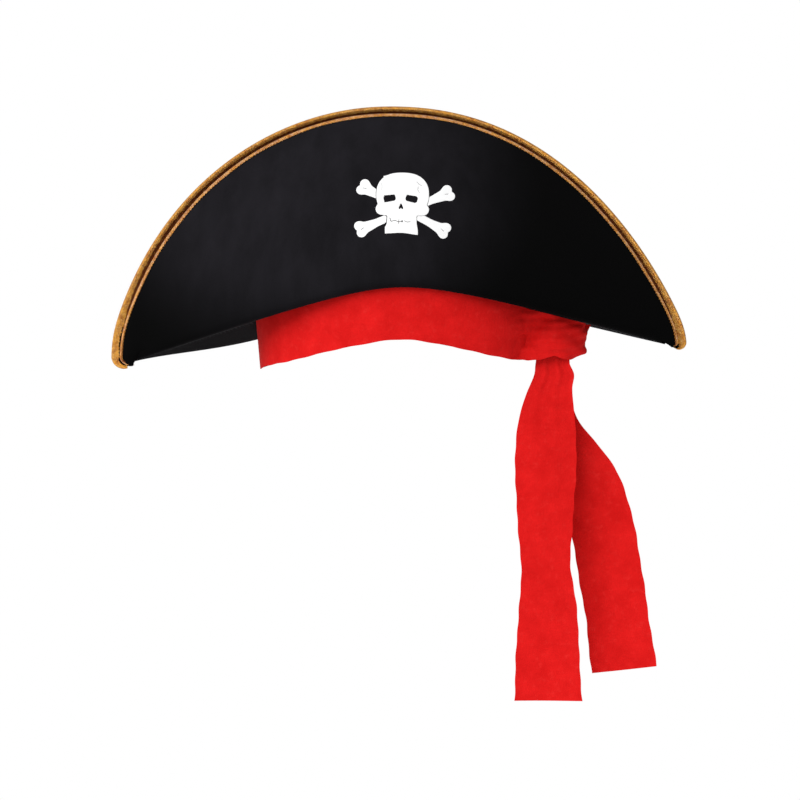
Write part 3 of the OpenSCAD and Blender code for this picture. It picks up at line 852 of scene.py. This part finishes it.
class HAT_OT_tape(bpy.types.Operator):
    """Add the gold tape folded over each flap's edge, and its zigzag stitching"""

    bl_idname = "pirate_hat.tape"
    bl_label = "Gold tape"

    def hems(self, brim, us, side):
        """Edge points, the way across the tape, its width and the felt's normal, along a flap."""
        edge = brim.edge(us, side)
        inside = np.clip(us, -TURN_START, TURN_START)
        near = brim.wall(inside, np.full_like(us, 0.995), side)
        at = brim.edge(inside, side)
        along = unit(brim.edge(inside + 1e-4, side) - brim.edge(inside - 1e-4, side))
        normal = unit(np.cross(along, at - near))
        across = np.cross(along, normal)
        across *= np.sign(np.sum(across * (near - at), -1))[:, None]
        crest, gain = TAPE[side][:2]
        width = crest + gain * np.abs(at[:, 0] / brim.half_w) ** 5
        hem = at + width[:, None] * across - np.outer(past_arc(us), [0, 0, 2.8])
        width = np.linalg.norm(hem - edge, axis=-1)
        return edge, unit(hem - edge), width, normal

    def profile(self, width, half, tape):
        """Points of the folded tape's section: along the felt's normal, and inwards from the edge."""
        legs = np.array([1.0, 0.85, 0.6, 0.35, 0.12])
        turn = np.radians([180, 150, 120, 90, 60, 30, 0])
        outer, inner = half + tape, half
        points = [(outer, k * width) for k in legs]
        points += [(-outer * math.cos(a), -outer * math.sin(a) * 0.55) for a in turn]
        points += [(-outer, k * width) for k in legs[::-1]]
        points += [(-inner, k * width) for k in legs]
        points += [(inner * math.cos(a), -inner * math.sin(a) * 0.5) for a in turn]
        points += [(inner, k * width) for k in legs[::-1]]
        return points

    def execute(self, context):
        brim = Brim(context.scene.hat_brim)
        trim = context.scene.hat_trim
        tape = trim.tape_thickness / MM
        # Both flaps carry one gold tape. The back's is drawn mainly in the gold, painted as lit flat
        # from the front, and the front's mainly in the copper as painted shade. Both have painted
        # highlights.
        golds = {
            FRONT: lame("Gold tape, front", trim.copper, trim.gold, trim.painted_glints),
            BACK: lame("Gold tape, back", trim.gold, trim.copper, (1.0, 0.66, 0.22)),
        }
        thread = sewing_thread("Gold thread", [c * 0.9 for c in trim.gold], 0.4)
        us = horn_to_horn(420, 34)
        for side, name in ((FRONT, "front_binding"), (BACK, "back_binding")):
            edge, across, width, normal = self.hems(brim, us, side)
            run = distances(edge)
            ragged = 0.22 * np.sin(run * 2.4) + 0.14 * np.sin(run * 5.3 + 1) + 0.2 * np.sin(run / 9)
            pucker = 0.10 * np.sin(run * 2.4 + 0.8) + 0.05 * np.sin(run * 0.9)
            half = brim.felt / 2 + 0.08
            sections = self.profile(width + ragged, half, tape)
            rings, depths = [], []
            # Where the tape's dark band starts: the stitched hem, and painted shade between the flaps
            # at the crest and on the front tape's face near the horns.
            hem, shift = TAPE[side][2:]
            start = hem + shift * np.abs(edge[:, 0] / brim.half_w) ** (24 if side == BACK else 12)
            for out, down in sections:
                down = np.broadcast_to(down, run.shape)
                depths.append(down - start)
                lift = np.sign(out) * pucker * smooth(down / width) if abs(out) > half else 0 * run
                rings.append(edge + (out + lift)[:, None] * normal + down[:, None] * across)
            grid = np.stack(rings, 1)
            n, m = grid.shape[:2]
            i = np.arange(n - 1)
            wrap = np.stack([i * m + m - 1, (i + 1) * m + m - 1, (i + 1) * m, i * m], -1)
            faces = grid_faces(n, m).tolist() + wrap.tolist()
            faces += [list(range(m))[::-1], [(n - 1) * m + j for j in range(m)]]
            if side == FRONT:
                faces = [f[::-1] for f in faces]
            place = np.stack(np.broadcast_arrays(run[:, None], np.stack(depths, 1)), -1)
            part = piece(
                name + "_tape", grid.reshape(-1, 3), faces, "hat", golds[side],
                place.reshape(-1, 2), 60,
            )
            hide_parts(name)
            self.zigzag(brim, side, name, trim.stitch_pitch / MM, half + tape, thread)
        return {"FINISHED"}

    def zigzag(self, brim, side, name, pitch, height, thread):
        """One zigzag line on each face, over the tape's hem."""
        us = horn_to_horn(900, 60)
        edge, across, width, normal = self.hems(brim, us, side)
        run = distances(edge)
        at = np.arange(3, run[-1] - 3, pitch / 2)

        def sample(values):
            return np.stack([np.interp(at, run, values[:, k]) for k in range(3)], -1)

        even = np.arange(len(at)) % 2 == 0
        down = np.interp(at, run, width) + np.where(even, -0.9, 0.25)
        parts = []
        for face in (-1, 1):
            out = face * (height + np.where(even, 0.12, 0.0))
            path = sample(edge) + out[:, None] * unit(sample(normal)) + down[:, None] * sample(across)
            parts.append(tube(path, 0.15, 5))
        threads(name + "_zigzag_stitches", parts, thread)


# ---------------------------------------------------------------- print


def circle(x, z, cx, cz, r):
    return np.hypot(x - cx, z - cz) - r


def oval(x, z, cx, cz, rx, rz, power=2.0):
    d = (np.abs((x - cx) / rx) ** power + np.abs((z - cz) / rz) ** power) ** (1 / power)
    return (d - 1) * min(rx, rz)


def box(x, z, cx, cz, hx, hz, turn=0.0, r=0.0):
    c, s = math.cos(turn), math.sin(turn)
    a = np.abs((x - cx) * c + (z - cz) * s) - hx + r
    b = np.abs(-(x - cx) * s + (z - cz) * c) - hz + r
    return np.hypot(np.maximum(a, 0), np.maximum(b, 0)) + np.minimum(np.maximum(a, b), 0) - r


def joint(shapes):
    """All the shapes together."""
    return np.minimum.reduce(list(shapes))


def line(x, z, points, r):
    """A stroke of half width r through a few points."""
    best = np.full_like(x, 1e3)
    for (ax, az), (bx, bz) in zip(points, points[1:]):
        dx, dz = bx - ax, bz - az
        k = np.clip(((x - ax) * dx + (z - az) * dz) / (dx * dx + dz * dz), 0, 1)
        best = np.minimum(best, np.hypot(x - ax - k * dx, z - az - k * dz))
    return best - r


def melt(a, b, r):
    """Both shapes, with a fillet of about r between them."""
    h = np.clip(0.5 + 0.5 * (b - a) / r, 0, 1)
    return between(b, a, h) - r * h * (1 - h)


def skull(x, z):
    """Negative inside the skull's print, and the same for its filled outline."""
    head = oval(x, z, 0, 7.5, 21.0, 18.4, 2.35)
    face = box(x, z, 0, -1.5, 17.0, 8.5, r=3)
    cheeks = circle(np.abs(x), z, 16.3, -4.9, 4.9)
    jaw_half = 11.5 + 1.1 * smooth((-15 - z) / 9)
    jaw_end = -25 + 0.5 * np.cos(x / 4.2) - 0.04 * x
    jaw = np.maximum(np.abs(x) - jaw_half, np.maximum(z + 4, jaw_end - z))
    whole = melt(melt(melt(head, face, 1.0), cheeks, 0.8), jaw, 1.3)
    # The face sits a little to the plain side of the head, the eyes most.
    side = np.abs(x + 1.5)
    eyes = box(side, z, 8.8, 4.1, 4.8, 2.9, math.radians(-13), 2.0)
    sockets = np.maximum(eyes, -line(side, z, [(3, 8.6), (15, 7)], 1))
    x = x + 1.1
    nose = np.maximum(box(x, z, 0, -2.6, 1.7, 2.3, 0, 0.2), np.abs(x) - 0.25 - 0.42 * (0.1 - z))
    nose = np.maximum(nose, -line(x, z, [(0, -6), (0, -4.4)], 0.45))
    # The mouth's two halves and a tooth, then two cracks at one side and one at the other.
    strokes = (
        ([(-8.6, -12.2), (-7.6, -15.2), (-4.5, -14.3), (-1.5, -15.6), (1, -14.9)], 0.24),
        ([(3, -14.6), (5.2, -15.6), (7.6, -15.2)], 0.22),
        ([(-1.6, -17), (-1.4, -13.6)], 0.18),
        ([(12.2, 18.6), (14.4, 16.2), (16.2, 15.2)], 0.16),
        ([(13.6, 14.6), (13.2, 11.6), (14.6, 9.4)], 0.16),
        ([(-16, 16.2), (-15.2, 13.4), (-15.8, 11)], 0.14),
    )
    marks = joint(line(x, z, points, r) for points, r in strokes)
    holes = joint((sockets, nose, marks, box(x, z, 1.2, -15, 0.5, 0.8)))
    return np.maximum(whole, -holes), whole


def crossed_bones(x, z):
    """Negative inside either bone's print."""
    bones = []
    for lean, cx, cz, end in ((-28, 1.0, -4.6, 37.1), (24.3, 1.9, -6.4, 38.1)):
        c, d = math.cos(math.radians(lean)), math.sin(math.radians(lean))
        a, b = np.abs((x - cx) * c + (z - cz) * d), -(x - cx) * d + (z - cz) * c
        waist = box(a, b, 0, 0, end, 3.1, r=1) - 1.4 * smooth((a - 22) / 13)
        lobes = joint((circle(a, b, end, 3.1, 3.8), circle(a, b, end + 0.4, -2.9, 3.6)))
        pits = line(a, b, [(end - 3, 0.3), (end - 0.4, -0.5)], 0.2)
        bones.append(np.maximum(melt(waist, lobes, 3.0), -pits))
    return joint(bones)


def cut_out(level, xs, zs):
    """Points (x, z, level) and faces of a grid where level is negative, cut along its outline."""
    points, index, faces = [], {}, []

    def corner(i, j):
        key = (i, j)
        if key not in index:
            index[key] = len(points)
            points.append((xs[i], zs[j], level[i, j]))
        return index[key]

    def crossing(a, b):
        key = (a, b) if a < b else (b, a)
        if key not in index:
            la, lb = level[a], level[b]
            k = la / (la - lb)
            index[key] = len(points)
            points.append((between(xs[a[0]], xs[b[0]], k), between(zs[a[1]], zs[b[1]], k), 0.0))
        return index[key]

    inside = level < 0
    near = inside[:-1, :-1] | inside[1:, :-1] | inside[:-1, 1:] | inside[1:, 1:]
    for i, j in zip(*np.nonzero(near)):
        ring = [(i, j), (i + 1, j), (i + 1, j + 1), (i, j + 1)]
        face = []
        for a, b in zip(ring, ring[1:] + ring[:1]):
            if inside[a]:
                face.append(corner(*a))
            if inside[a] != inside[b]:
                face.append(crossing(a, b))
        if len(face) > 2:
            faces.append(face)
    return np.array(points), faces


class HAT_OT_print(bpy.types.Operator):
    """Add the white skull and crossed bones printed on the front flap"""

    bl_idname = "pirate_hat.print"
    bl_label = "Print"

    # Where the print's middle is on the flap, and the width that the skull is drawn at.
    middle = (5.1, 125.6)
    drawn_width = 42.6

    def on_flap(self, brim, x, z):
        """The front flap's outer face over places (x, z), and its normal there."""
        # About how far the wall runs for a whole step of u and of t.
        wide, tall = 240, 138
        table = np.linspace(-0.5, 0.5, 401)
        edge, crease = brim.edge(table, FRONT), brim.crease(table, FRONT)
        u = x / 230
        for _ in range(12):
            ex, ez = np.interp(u, table, edge[:, 0]), np.interp(u, table, edge[:, 2])
            cx, cz = np.interp(u, table, crease[:, 0]), np.interp(u, table, crease[:, 2])
            t = (z - cz - FOLD_R) / (ez - cz - FOLD_R)
            u = u + (x - between(cx, ex, t)) / wide
        for _ in range(6):
            here = brim.wall(u, t, FRONT)
            u, t = u + (x - here[:, 0]) / wide, t + (z - here[:, 2]) / tall
        step = 1e-3
        here = brim.wall(u, t, FRONT)
        along = brim.wall(u + step, t, FRONT) - brim.wall(u - step, t, FRONT)
        up = brim.wall(u, t + step, FRONT) - brim.wall(u, t - step, FRONT)
        normal = unit(np.cross(along, up))
        return here + (brim.relief(here, t) + brim.felt / 2)[:, None] * normal, normal

    def execute(self, context):
        brim = Brim(context.scene.hat_brim)
        trim = context.scene.hat_trim
        ink = print_ink("White ink", trim.ink)
        size = trim.print_width / MM / self.drawn_width
        cell = 0.3
        xs, zs = np.arange(-45, 46, cell), np.arange(-30, 30, cell)
        x, z = np.meshgrid(xs, zs, indexing="ij")
        drawn, outline = skull(x, z)
        gap = 0.35
        bones = np.maximum(crossed_bones(x, z), gap - outline)
        c, s = math.cos(trim.print_turn), math.sin(trim.print_turn)
        for level, name in ((drawn, "skull_transfer"), (bones, "bones_transfer")):
            flat, faces = cut_out(level, xs, zs)
            a, b = flat[:, 0] * size, flat[:, 1] * size
            px, pz = self.middle[0] + a * c - b * s, self.middle[1] + a * s + b * c
            on, normal = self.on_flap(brim, px, pz)
            rise = 0.20 + 0.10 * smooth(-flat[:, 2] / 0.5)
            points = np.concatenate([on + rise[:, None] * normal, on + 0.03 * normal])
            count = len(flat)
            # A dict keeps the order, where a set would not.
            rim = {pair: 1 for face in faces for pair in zip(face, face[1:] + face[:1])}
            walls = [[q, p, p + count, q + count] for p, q in rim if (q, p) not in rim]
            back = [[v + count for v in face[::-1]] for face in faces]
            part = piece(name + "_ink", points, faces + back + walls, "hat", ink,
                         sharp=50)
            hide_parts(name)
        return {"FINISHED"}


# ---------------------------------------------------------------- sash


def through(points, count, closed=False):
    """A smooth curve through a few points, count samples to each stretch."""
    p = np.asarray(points, float)
    if closed:
        before, after, after2 = np.roll(p, 1, 0), np.roll(p, -1, 0), np.roll(p, -2, 0)
    else:
        ends = np.concatenate([2 * p[:1] - p[1:2], p, 2 * p[-1:] - p[-2:-1]])
        before, p, after, after2 = ends[:-3], ends[1:-2], ends[2:-1], ends[3:]
    t = (np.arange(count) / count)[None, :, None]
    b, p0, p1, c = (q[:, None] for q in (before, p, after, after2))
    curve = 0.5 * (
        2 * p0 + (p1 - b) * t + (2 * b - 5 * p0 + 4 * p1 - c) * t**2 + (3 * p0 - b - 3 * p1 + c) * t**3
    )
    curve = curve.reshape(-1, curve.shape[-1])
    return curve if closed else np.concatenate([curve, np.asarray(points, float)[-1:]])


# The sash's path round the knot: x, y, height of its lower edge, and how far that edge is
# drawn in, in x and in y.
KNOT_PATH = [
    (102.0, -36.6, 1.8, 0.0, 1.4),
    (109.0, -37.2, 2.4, 0.0, 2.6),
    (116.0, -38.2, 4.4, 0.0, 4.5),
    (123.0, -38.5, 5.8, 0.0, 5.5),
    (131.0, -36.5, 2.2, -0.5, 4.5),
    (138.5, -32.0, 2.0, -2.0, 3.0),
    (145.5, -25.0, 5.6, -1.0, 1.5),
    (149.0, -16.0, 8.0, -1.0, 0.0),
    (146.0, -6.0, 8.0, -3.0, -1.0),
    (139.0, 1.5, 4.0, -2.0, -4.0),
    (130.0, 6.5, 1.5, 0.0, -5.0),
    (120.0, 10.5, 1.0, 0.0, -4.0),
]
LEAVES_AT, RETURNS_AT = math.radians(-31), math.radians(13)
# How far outside the head the sash lies on the crown, and the layer beneath it.
SASH_OFF, UNDER_OFF = 3.5, 2.9


def facing(y):
    """From 0 behind the knot's middle to 1 at its front."""
    return smooth((4 - y) / 20)


class HAT_OT_sash_band(bpy.types.Operator):
    """Add the sash round the crown, where it loops out into the knot, and its layer behind the knot"""

    bl_idname = "pirate_hat.sash_band"
    bl_label = "Sash band"

    def controls(self, brim):
        """Rows of x, y, low, high, pull x, pull y and how much of a ring each place is."""
        rows = []
        for turn in np.linspace(RETURNS_AT, LEAVES_AT + 2 * math.pi, 42):
            x = (HEAD_HALF_W + SASH_OFF) * math.cos(turn)
            y = (HEAD_HALF_D + SASH_OFF) * math.sin(turn)
            out = smooth((x - 88) / 13) if x > 0 else 0.0
            high = crease_z(x, brim.crease_top) + between(10.0, -1.0, float(out))
            ring = 1 - float(smooth((x - 86) / 14)) if x > 0 else 1.0
            rows.append((x, y, open_z(x, turn) - 0.5, high, 0.0, 0.0, ring))
        for x, y, low, pull_x, pull_y in KNOT_PATH:
            rows.append((x, y, low, crease_z(x, brim.crease_top) - 1.0, pull_x, pull_y, 0.0))
        return rows

    def folds(self, x, y, z, ring):
        """How far the cloth stands out or in, in millimetres."""
        knot = 1 - ring
        front = facing(y)
        # Across the knot's deep slanting fold, and across the short one beside it.
        valley = (x - 106) * 0.74 - (z - 26) * 0.67
        second = (x - 117) * 0.93 - (z - 22) * 0.36
        relief = 0.6 * bump(valley, -16, 9) * smooth((x - 62) / 20) * front
        relief -= 5.5 * bump(valley, 1, 6) * smooth((x - 84) / 18) * front
        relief += 2.6 * bump(x, 124, 11) * bump(z, 14, 11) * front
        relief -= 1.2 * bump(second, 0, 3.5) * bump(z, 26, 9) * front * knot
        relief += 0.9 * np.sin(z * 0.42 + x * 0.16) * knot * (0.35 + 0.65 * smooth((x - 128) / 14))
        relief += 0.35 * np.sin(z * 0.9 - y * 0.3) * knot
        relief += 0.35 * np.sin(x / 13 + z / 16 + 0.6) * ring + 0.22 * np.sin(x / 6.5 - z / 11) * ring
        return relief

    def execute(self, context):
        brim = Brim(context.scene.hat_brim)
        sash = context.scene.hat_sash
        red = bonded_cloth("Red sash cloth", sash.red)
        path = through(self.controls(brim), 10, closed=True)
        for _ in range(24):
            plan = path[:, :2]
            path[:, :2] = (np.roll(plan, 1, 0) + 2 * plan + np.roll(plan, -1, 0)) / 4
        x0, y0, low, high, pull_x, pull_y, ring = (path[:, k, None] for k in range(7))
        ring = np.clip(ring, 0, 1)
        k = np.linspace(0, 1, 44)[None, :]
        run = np.arange(len(path))[:, None]
        low = low + 0.35 * np.sin(run * 0.11) + 0.2 * np.sin(run * 0.37 + 1)
        z = between(high, low, k)
        drawn_in = taper(z, x0, np.arctan2(y0 / HEAD_HALF_D, x0 / HEAD_HALF_W)) * ring
        outward = unit(np.concatenate([x0 / HEAD_HALF_W**2, y0 / HEAD_HALF_D**2], -1))
        x = x0 + pull_x * k**2.2 - drawn_in * outward[:, :1]
        y = y0 + pull_y * k**2.2 - drawn_in * outward[:, 1:]
        grid = np.stack([x, y, z], -1)
        normal = grid_normals(grid, True)
        flow = np.sign(np.sum(normal[:, :, :2] * outward[:, None], -1).mean())
        hold = smooth(k / 0.15) * 0.75 + 0.25
        relief = self.folds(x, y, z, ring) * hold
        # The knot's upper edge is drawn in under the brim, and the crown holds the cloth elsewhere.
        depth = 3.5 * smooth((x - 92) / 16) * smooth((148 - x) / 16)
        relief -= depth * (1 - k) ** 1.5 * facing(y)
        relief = np.maximum(relief, -0.1 - 9 * (1 - ring))
        grid = grid + flow * relief[..., None] * normal
        cloth = (sash.cloth_thickness / MM, "red_nonwoven", red)
        band = sheet("sash_band_cloth", grid, *cloth, closed=True)
        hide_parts("sash_band", "sash_knot")
        run = float(np.linalg.norm(np.diff(path[:, :2], axis=0), axis=1).sum()) * MM
        turn = np.radians(np.linspace(-42, 19, 70))

        def height(x, angle, k):
            return between(open_z(x, angle) + 0.6, crease_z(x, brim.crease_top) + 9.5, k)

        under = ring_rows(turn, UNDER_OFF, height, 24)
        layer = sheet("sash_under_knot_cloth", under, 0.4, "red_nonwoven", red)
        return {"FINISHED"}


class HAT_OT_sash_knot(bpy.types.Operator):
    """Add the bunched cloth inside the knot and the strip's end that shows beside it"""

    bl_idname = "pirate_hat.sash_knot"
    bl_label = "Sash knot"

    def execute(self, context):
        red = bpy.data.materials["Red sash cloth"]
        t = context.scene.hat_sash.cloth_thickness / MM
        turn = full_turn(120)[:, None]
        rise = np.radians(np.linspace(-88, 88, 60))[None, :]
        pleats = 1 + 0.07 * np.sin(7 * turn + 3 * rise) + 0.05 * np.sin(12 * turn - 5 * rise + 1)
        (mid_x, mid_y, mid_z), (half_x, half_y, half_z) = (130, -14, 20), (14, 16, 9)
        x = mid_x + half_x * pleats * np.cos(rise) * np.cos(turn)
        y = mid_y + half_y * pleats * np.cos(rise) * np.sin(turn)
        z = mid_z + half_z * np.sin(rise) * (1 + 0.05 * np.sin(5 * turn)) + 0 * turn
        grid = np.stack([x, y, z], -1)
        n, m = grid.shape[:2]
        faces = grid_faces(n, m, closed=True).tolist()
        faces += [[i * m for i in range(n)][::-1], [i * m + m - 1 for i in range(n)]]
        piece("sash_knot_core", grid.reshape(-1, 3), faces, "hat", red)
        a = np.linspace(0, 1, 30)[:, None]
        k = np.linspace(0, 1, 24)[None, :]
        x = between(133, 148.5 + 4 * (1 - k) ** 2 - 1.2 * np.sin(k * 3), a)
        y = -12 - 4 * np.sin(a * 1.5) + 2.5 * k + 1.0 * np.sin(5 * k + 3 * a)
        z = between(31.5 - 0.4 * (a * 15) ** 0.6, 10 - 2 * a, k)
        end = sheet("sash_knot_end_cloth", np.stack([x, y, z], -1), t, "red_nonwoven", red)
        return {"FINISHED"}


# Each tail's two edges, from inside the knot down to the cut end: x and z.
FRONT_TAIL_LEFT = [
    (109.2, 9), (107.4, -1), (106.0, -10), (99.8, -24), (95.0, -38), (91.2, -55), (89.6, -78),
    (90.2, -116), (92.6, -166), (89.6, -200), (87.0, -235), (85.4, -266.3),
]
FRONT_TAIL_RIGHT = [
    (132.5, 9), (134.2, -1), (137.6, -10), (136.0, -21), (136.8, -36), (138.2, -58), (137.4, -88),
    (134.0, -126), (131.8, -160), (136.3, -198), (137.0, -234), (138.6, -267.2),
]
REAR_TAIL_LEFT = [
    (121, 9), (119, -1), (117, -12), (115, -26), (118, -48), (125, -90), (134, -134), (139.2, -170),
    (144.0, -202), (146.2, -228), (148.0, -247.6),
]
REAR_TAIL_RIGHT = [
    (135, 9), (135.5, -1), (135.5, -14), (136.5, -28), (141.5, -46), (162.3, -73), (175.2, -96),
    (183.8, -128), (190.2, -170), (195.2, -210), (199.8, -243),
]


class HAT_OT_sash_tails(bpy.types.Operator):
    """Add the two hanging tails of the sash"""

    bl_idname = "pirate_hat.sash_tails"
    bl_label = "Sash tails"

    def tail(self, left, right, depth, pleats, phase, sway):
        """A tail's surface: pleats at the knot, a soft sway below, and a slightly frayed edge."""
        a, b = through(left, 24), through(right, 24)
        h = np.linspace(0, 1, 56)[:, None]
        x = between(a[None, :, 0], b[None, :, 0], h)
        z = between(a[None, :, 1], b[None, :, 1], h)
        gather = np.exp(-np.maximum(9 - z, 0) / 24)
        below = smooth((-20 - z) / 60)
        y = depth + 0.8 * gather * np.sin(2 * np.pi * pleats * h + phase)
        y = y + 0.3 * gather * np.sin(2 * np.pi * (2 * pleats + 0.3) * h + 2 * phase)
        y = y + below * sway * np.sin(z / 46 + phase) * (0.4 + 0.6 * np.cos(np.pi * (h - 0.3)))
        y = y + below * 1.1 * np.sin(z / 21 + 3.2 * h + phase)
        y = y + below * 2.2 * (h - 0.5) * np.sin(z / 62 + 1.0 + phase)
        fray = 0.25 * np.sin(z / 3.1 + phase) + 0.2 * np.sin(z / 7.7)
        x = x + fray * below * (2 * np.abs(h - 0.5)) ** 4 * np.sign(h - 0.5)
        return np.stack([x, y, z], -1)

    def execute(self, context):
        sash = context.scene.hat_sash
        red = bpy.data.materials["Red sash cloth"]
        t = sash.cloth_thickness / MM
        for name, left, right, cad, pleats, phase, sway in (
            ("front", FRONT_TAIL_LEFT, FRONT_TAIL_RIGHT, "front_neck", 2.6, 0.7, 2.6),
            ("rear", REAR_TAIL_LEFT, REAR_TAIL_RIGHT, "rear_neck", 2.2, 2.1, -2.4),
        ):
            low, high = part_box(cad)
            depth = (low.y + high.y) / 2 / MM
            grid = self.tail(left, right, depth, pleats, phase, sway)
            part = sheet(name + "_tail_cloth", grid, t, "red_nonwoven", red, body=None)
            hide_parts(name + "_neck", name + "_tail")
            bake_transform(part)
        return {"FINISHED"}


# ---------------------------------------------------------------- stage


FLOOR_RADIUS = 3.6
EYE_HEIGHT = -0.027
KEY_FROM = (-0.68, -0.85, 0.78)


class HAT_OT_stage(bpy.types.Operator):
    """Add the floor, the lights and the camera"""

    bl_idname = "pirate_hat.stage"
    bl_label = "Stage"

    def studio(self, fill):
        """White all round to the camera, with softer light that comes mostly from the left."""
        world = bpy.data.worlds.new("Studio")
        world.use_nodes = True
        tree = world.node_tree
        split = tree.nodes.new("ShaderNodeSeparateXYZ")
        tree.links.new(tree.nodes.new("ShaderNodeTexCoord").outputs["Generated"], split.inputs[0])
        side = tree.nodes.new("ShaderNodeMapRange")
        spread = {"From Min": -1, "From Max": 1, "To Min": 1.3 * fill, "To Max": fill / 2}
        for socket, value in spread.items():
            side.inputs[socket].default_value = value
        tree.links.new(split.outputs["X"], side.inputs["Value"])
        seen = tree.nodes.new("ShaderNodeMix")
        seen.inputs["B"].default_value = 1
        rays = tree.nodes.new("ShaderNodeLightPath")
        tree.links.new(rays.outputs["Is Camera Ray"], seen.inputs["Factor"])
        tree.links.new(side.outputs["Result"], seen.inputs["A"])
        background = tree.nodes["Background"]
        background.inputs["Color"].default_value = (1, 1, 1, 1)
        tree.links.new(seen.outputs["Result"], background.inputs["Strength"])
        return world

    def execute(self, context):
        scene = context.scene
        stage = scene.hat_stage
        scene.view_settings.view_transform = "Standard"
        turn = full_turn(96)
        rim = FLOOR_RADIUS * np.stack([np.cos(turn), np.sin(turn), 0 * turn], -1)
        rim[:, 2] = -stage.floor_drop
        mesh = bpy.data.meshes.new("floor")
        mesh.from_pydata(rim.tolist(), [], [list(range(len(turn)))])
        mesh.materials.append(floor_paint("Pale floor", (0.9, 0.9, 0.9)))
        floor = add_object("floor", mesh)
        scene.world = self.studio(stage.fill_strength)

        key = bpy.data.lights.new("Key", "SUN")
        key.energy = stage.key_strength
        key.angle = math.radians(50)
        lamp = add_object("Key", key)
        lamp.rotation_euler = Vector(KEY_FROM).to_track_quat("Z", "Y").to_euler()

        camera = bpy.data.cameras.new("Camera")
        camera.lens = stage.lens
        camera.sensor_width = 36
        camera.clip_end = 100
        eye = add_object("Camera", camera)
        eye.location = (0, -stage.camera_distance, EYE_HEIGHT)
        tip = Euler((math.radians(90), 0, 0)).to_matrix() @ Euler((0, 0, -stage.roll)).to_matrix()
        eye.rotation_euler = tip.to_euler()
        scene.camera = eye
        return {"FINISHED"}


class HAT_PT_panel(bpy.types.Panel):
    bl_idname = "HAT_PT_panel"
    bl_label = "Pirate Hat"
    bl_space_type = "VIEW_3D"
    bl_region_type = "UI"
    bl_category = "Pirate Hat"

    def draw(self, context):
        scene = context.scene
        groups = (
            ("Brim", scene.hat_brim, BrimSettings),
            ("Trim", scene.hat_trim, TrimSettings),
            ("Sash", scene.hat_sash, SashSettings),
            ("Stage", scene.hat_stage, StageSettings),
        )
        for title, values, group in groups:
            box = self.layout.box()
            box.label(text=title)
            for name in group.__annotations__:
                box.prop(values, name)
        for operator in OPERATORS:
            self.layout.operator(operator.bl_idname)


SETTINGS = (
    ("hat_brim", BrimSettings),
    ("hat_trim", TrimSettings),
    ("hat_sash", SashSettings),
    ("hat_stage", StageSettings),
)
OPERATORS = (
    HAT_OT_brim,
    HAT_OT_brim_seam,
    HAT_OT_crown,
    HAT_OT_lining,
    HAT_OT_tape,
    HAT_OT_print,
    HAT_OT_sash_band,
    HAT_OT_sash_knot,
    HAT_OT_sash_tails,
    HAT_OT_stage,
)


def register():
    for name, group in SETTINGS:
        bpy.utils.register_class(group)
        setattr(bpy.types.Scene, name, bpy.props.PointerProperty(type=group))
    for operator in OPERATORS:
        bpy.utils.register_class(operator)
    bpy.utils.register_class(HAT_PT_panel)


def unregister():
    bpy.utils.unregister_class(HAT_PT_panel)
    for operator in reversed(OPERATORS):
        bpy.utils.unregister_class(operator)
    for name, group in reversed(SETTINGS):
        delattr(bpy.types.Scene, name)
        bpy.utils.unregister_class(group)


def main():
    register()
    for operator in OPERATORS:
        family, name = operator.bl_idname.split(".")
        getattr(getattr(bpy.ops, family), name)()


if __name__ == "__main__":
    main()
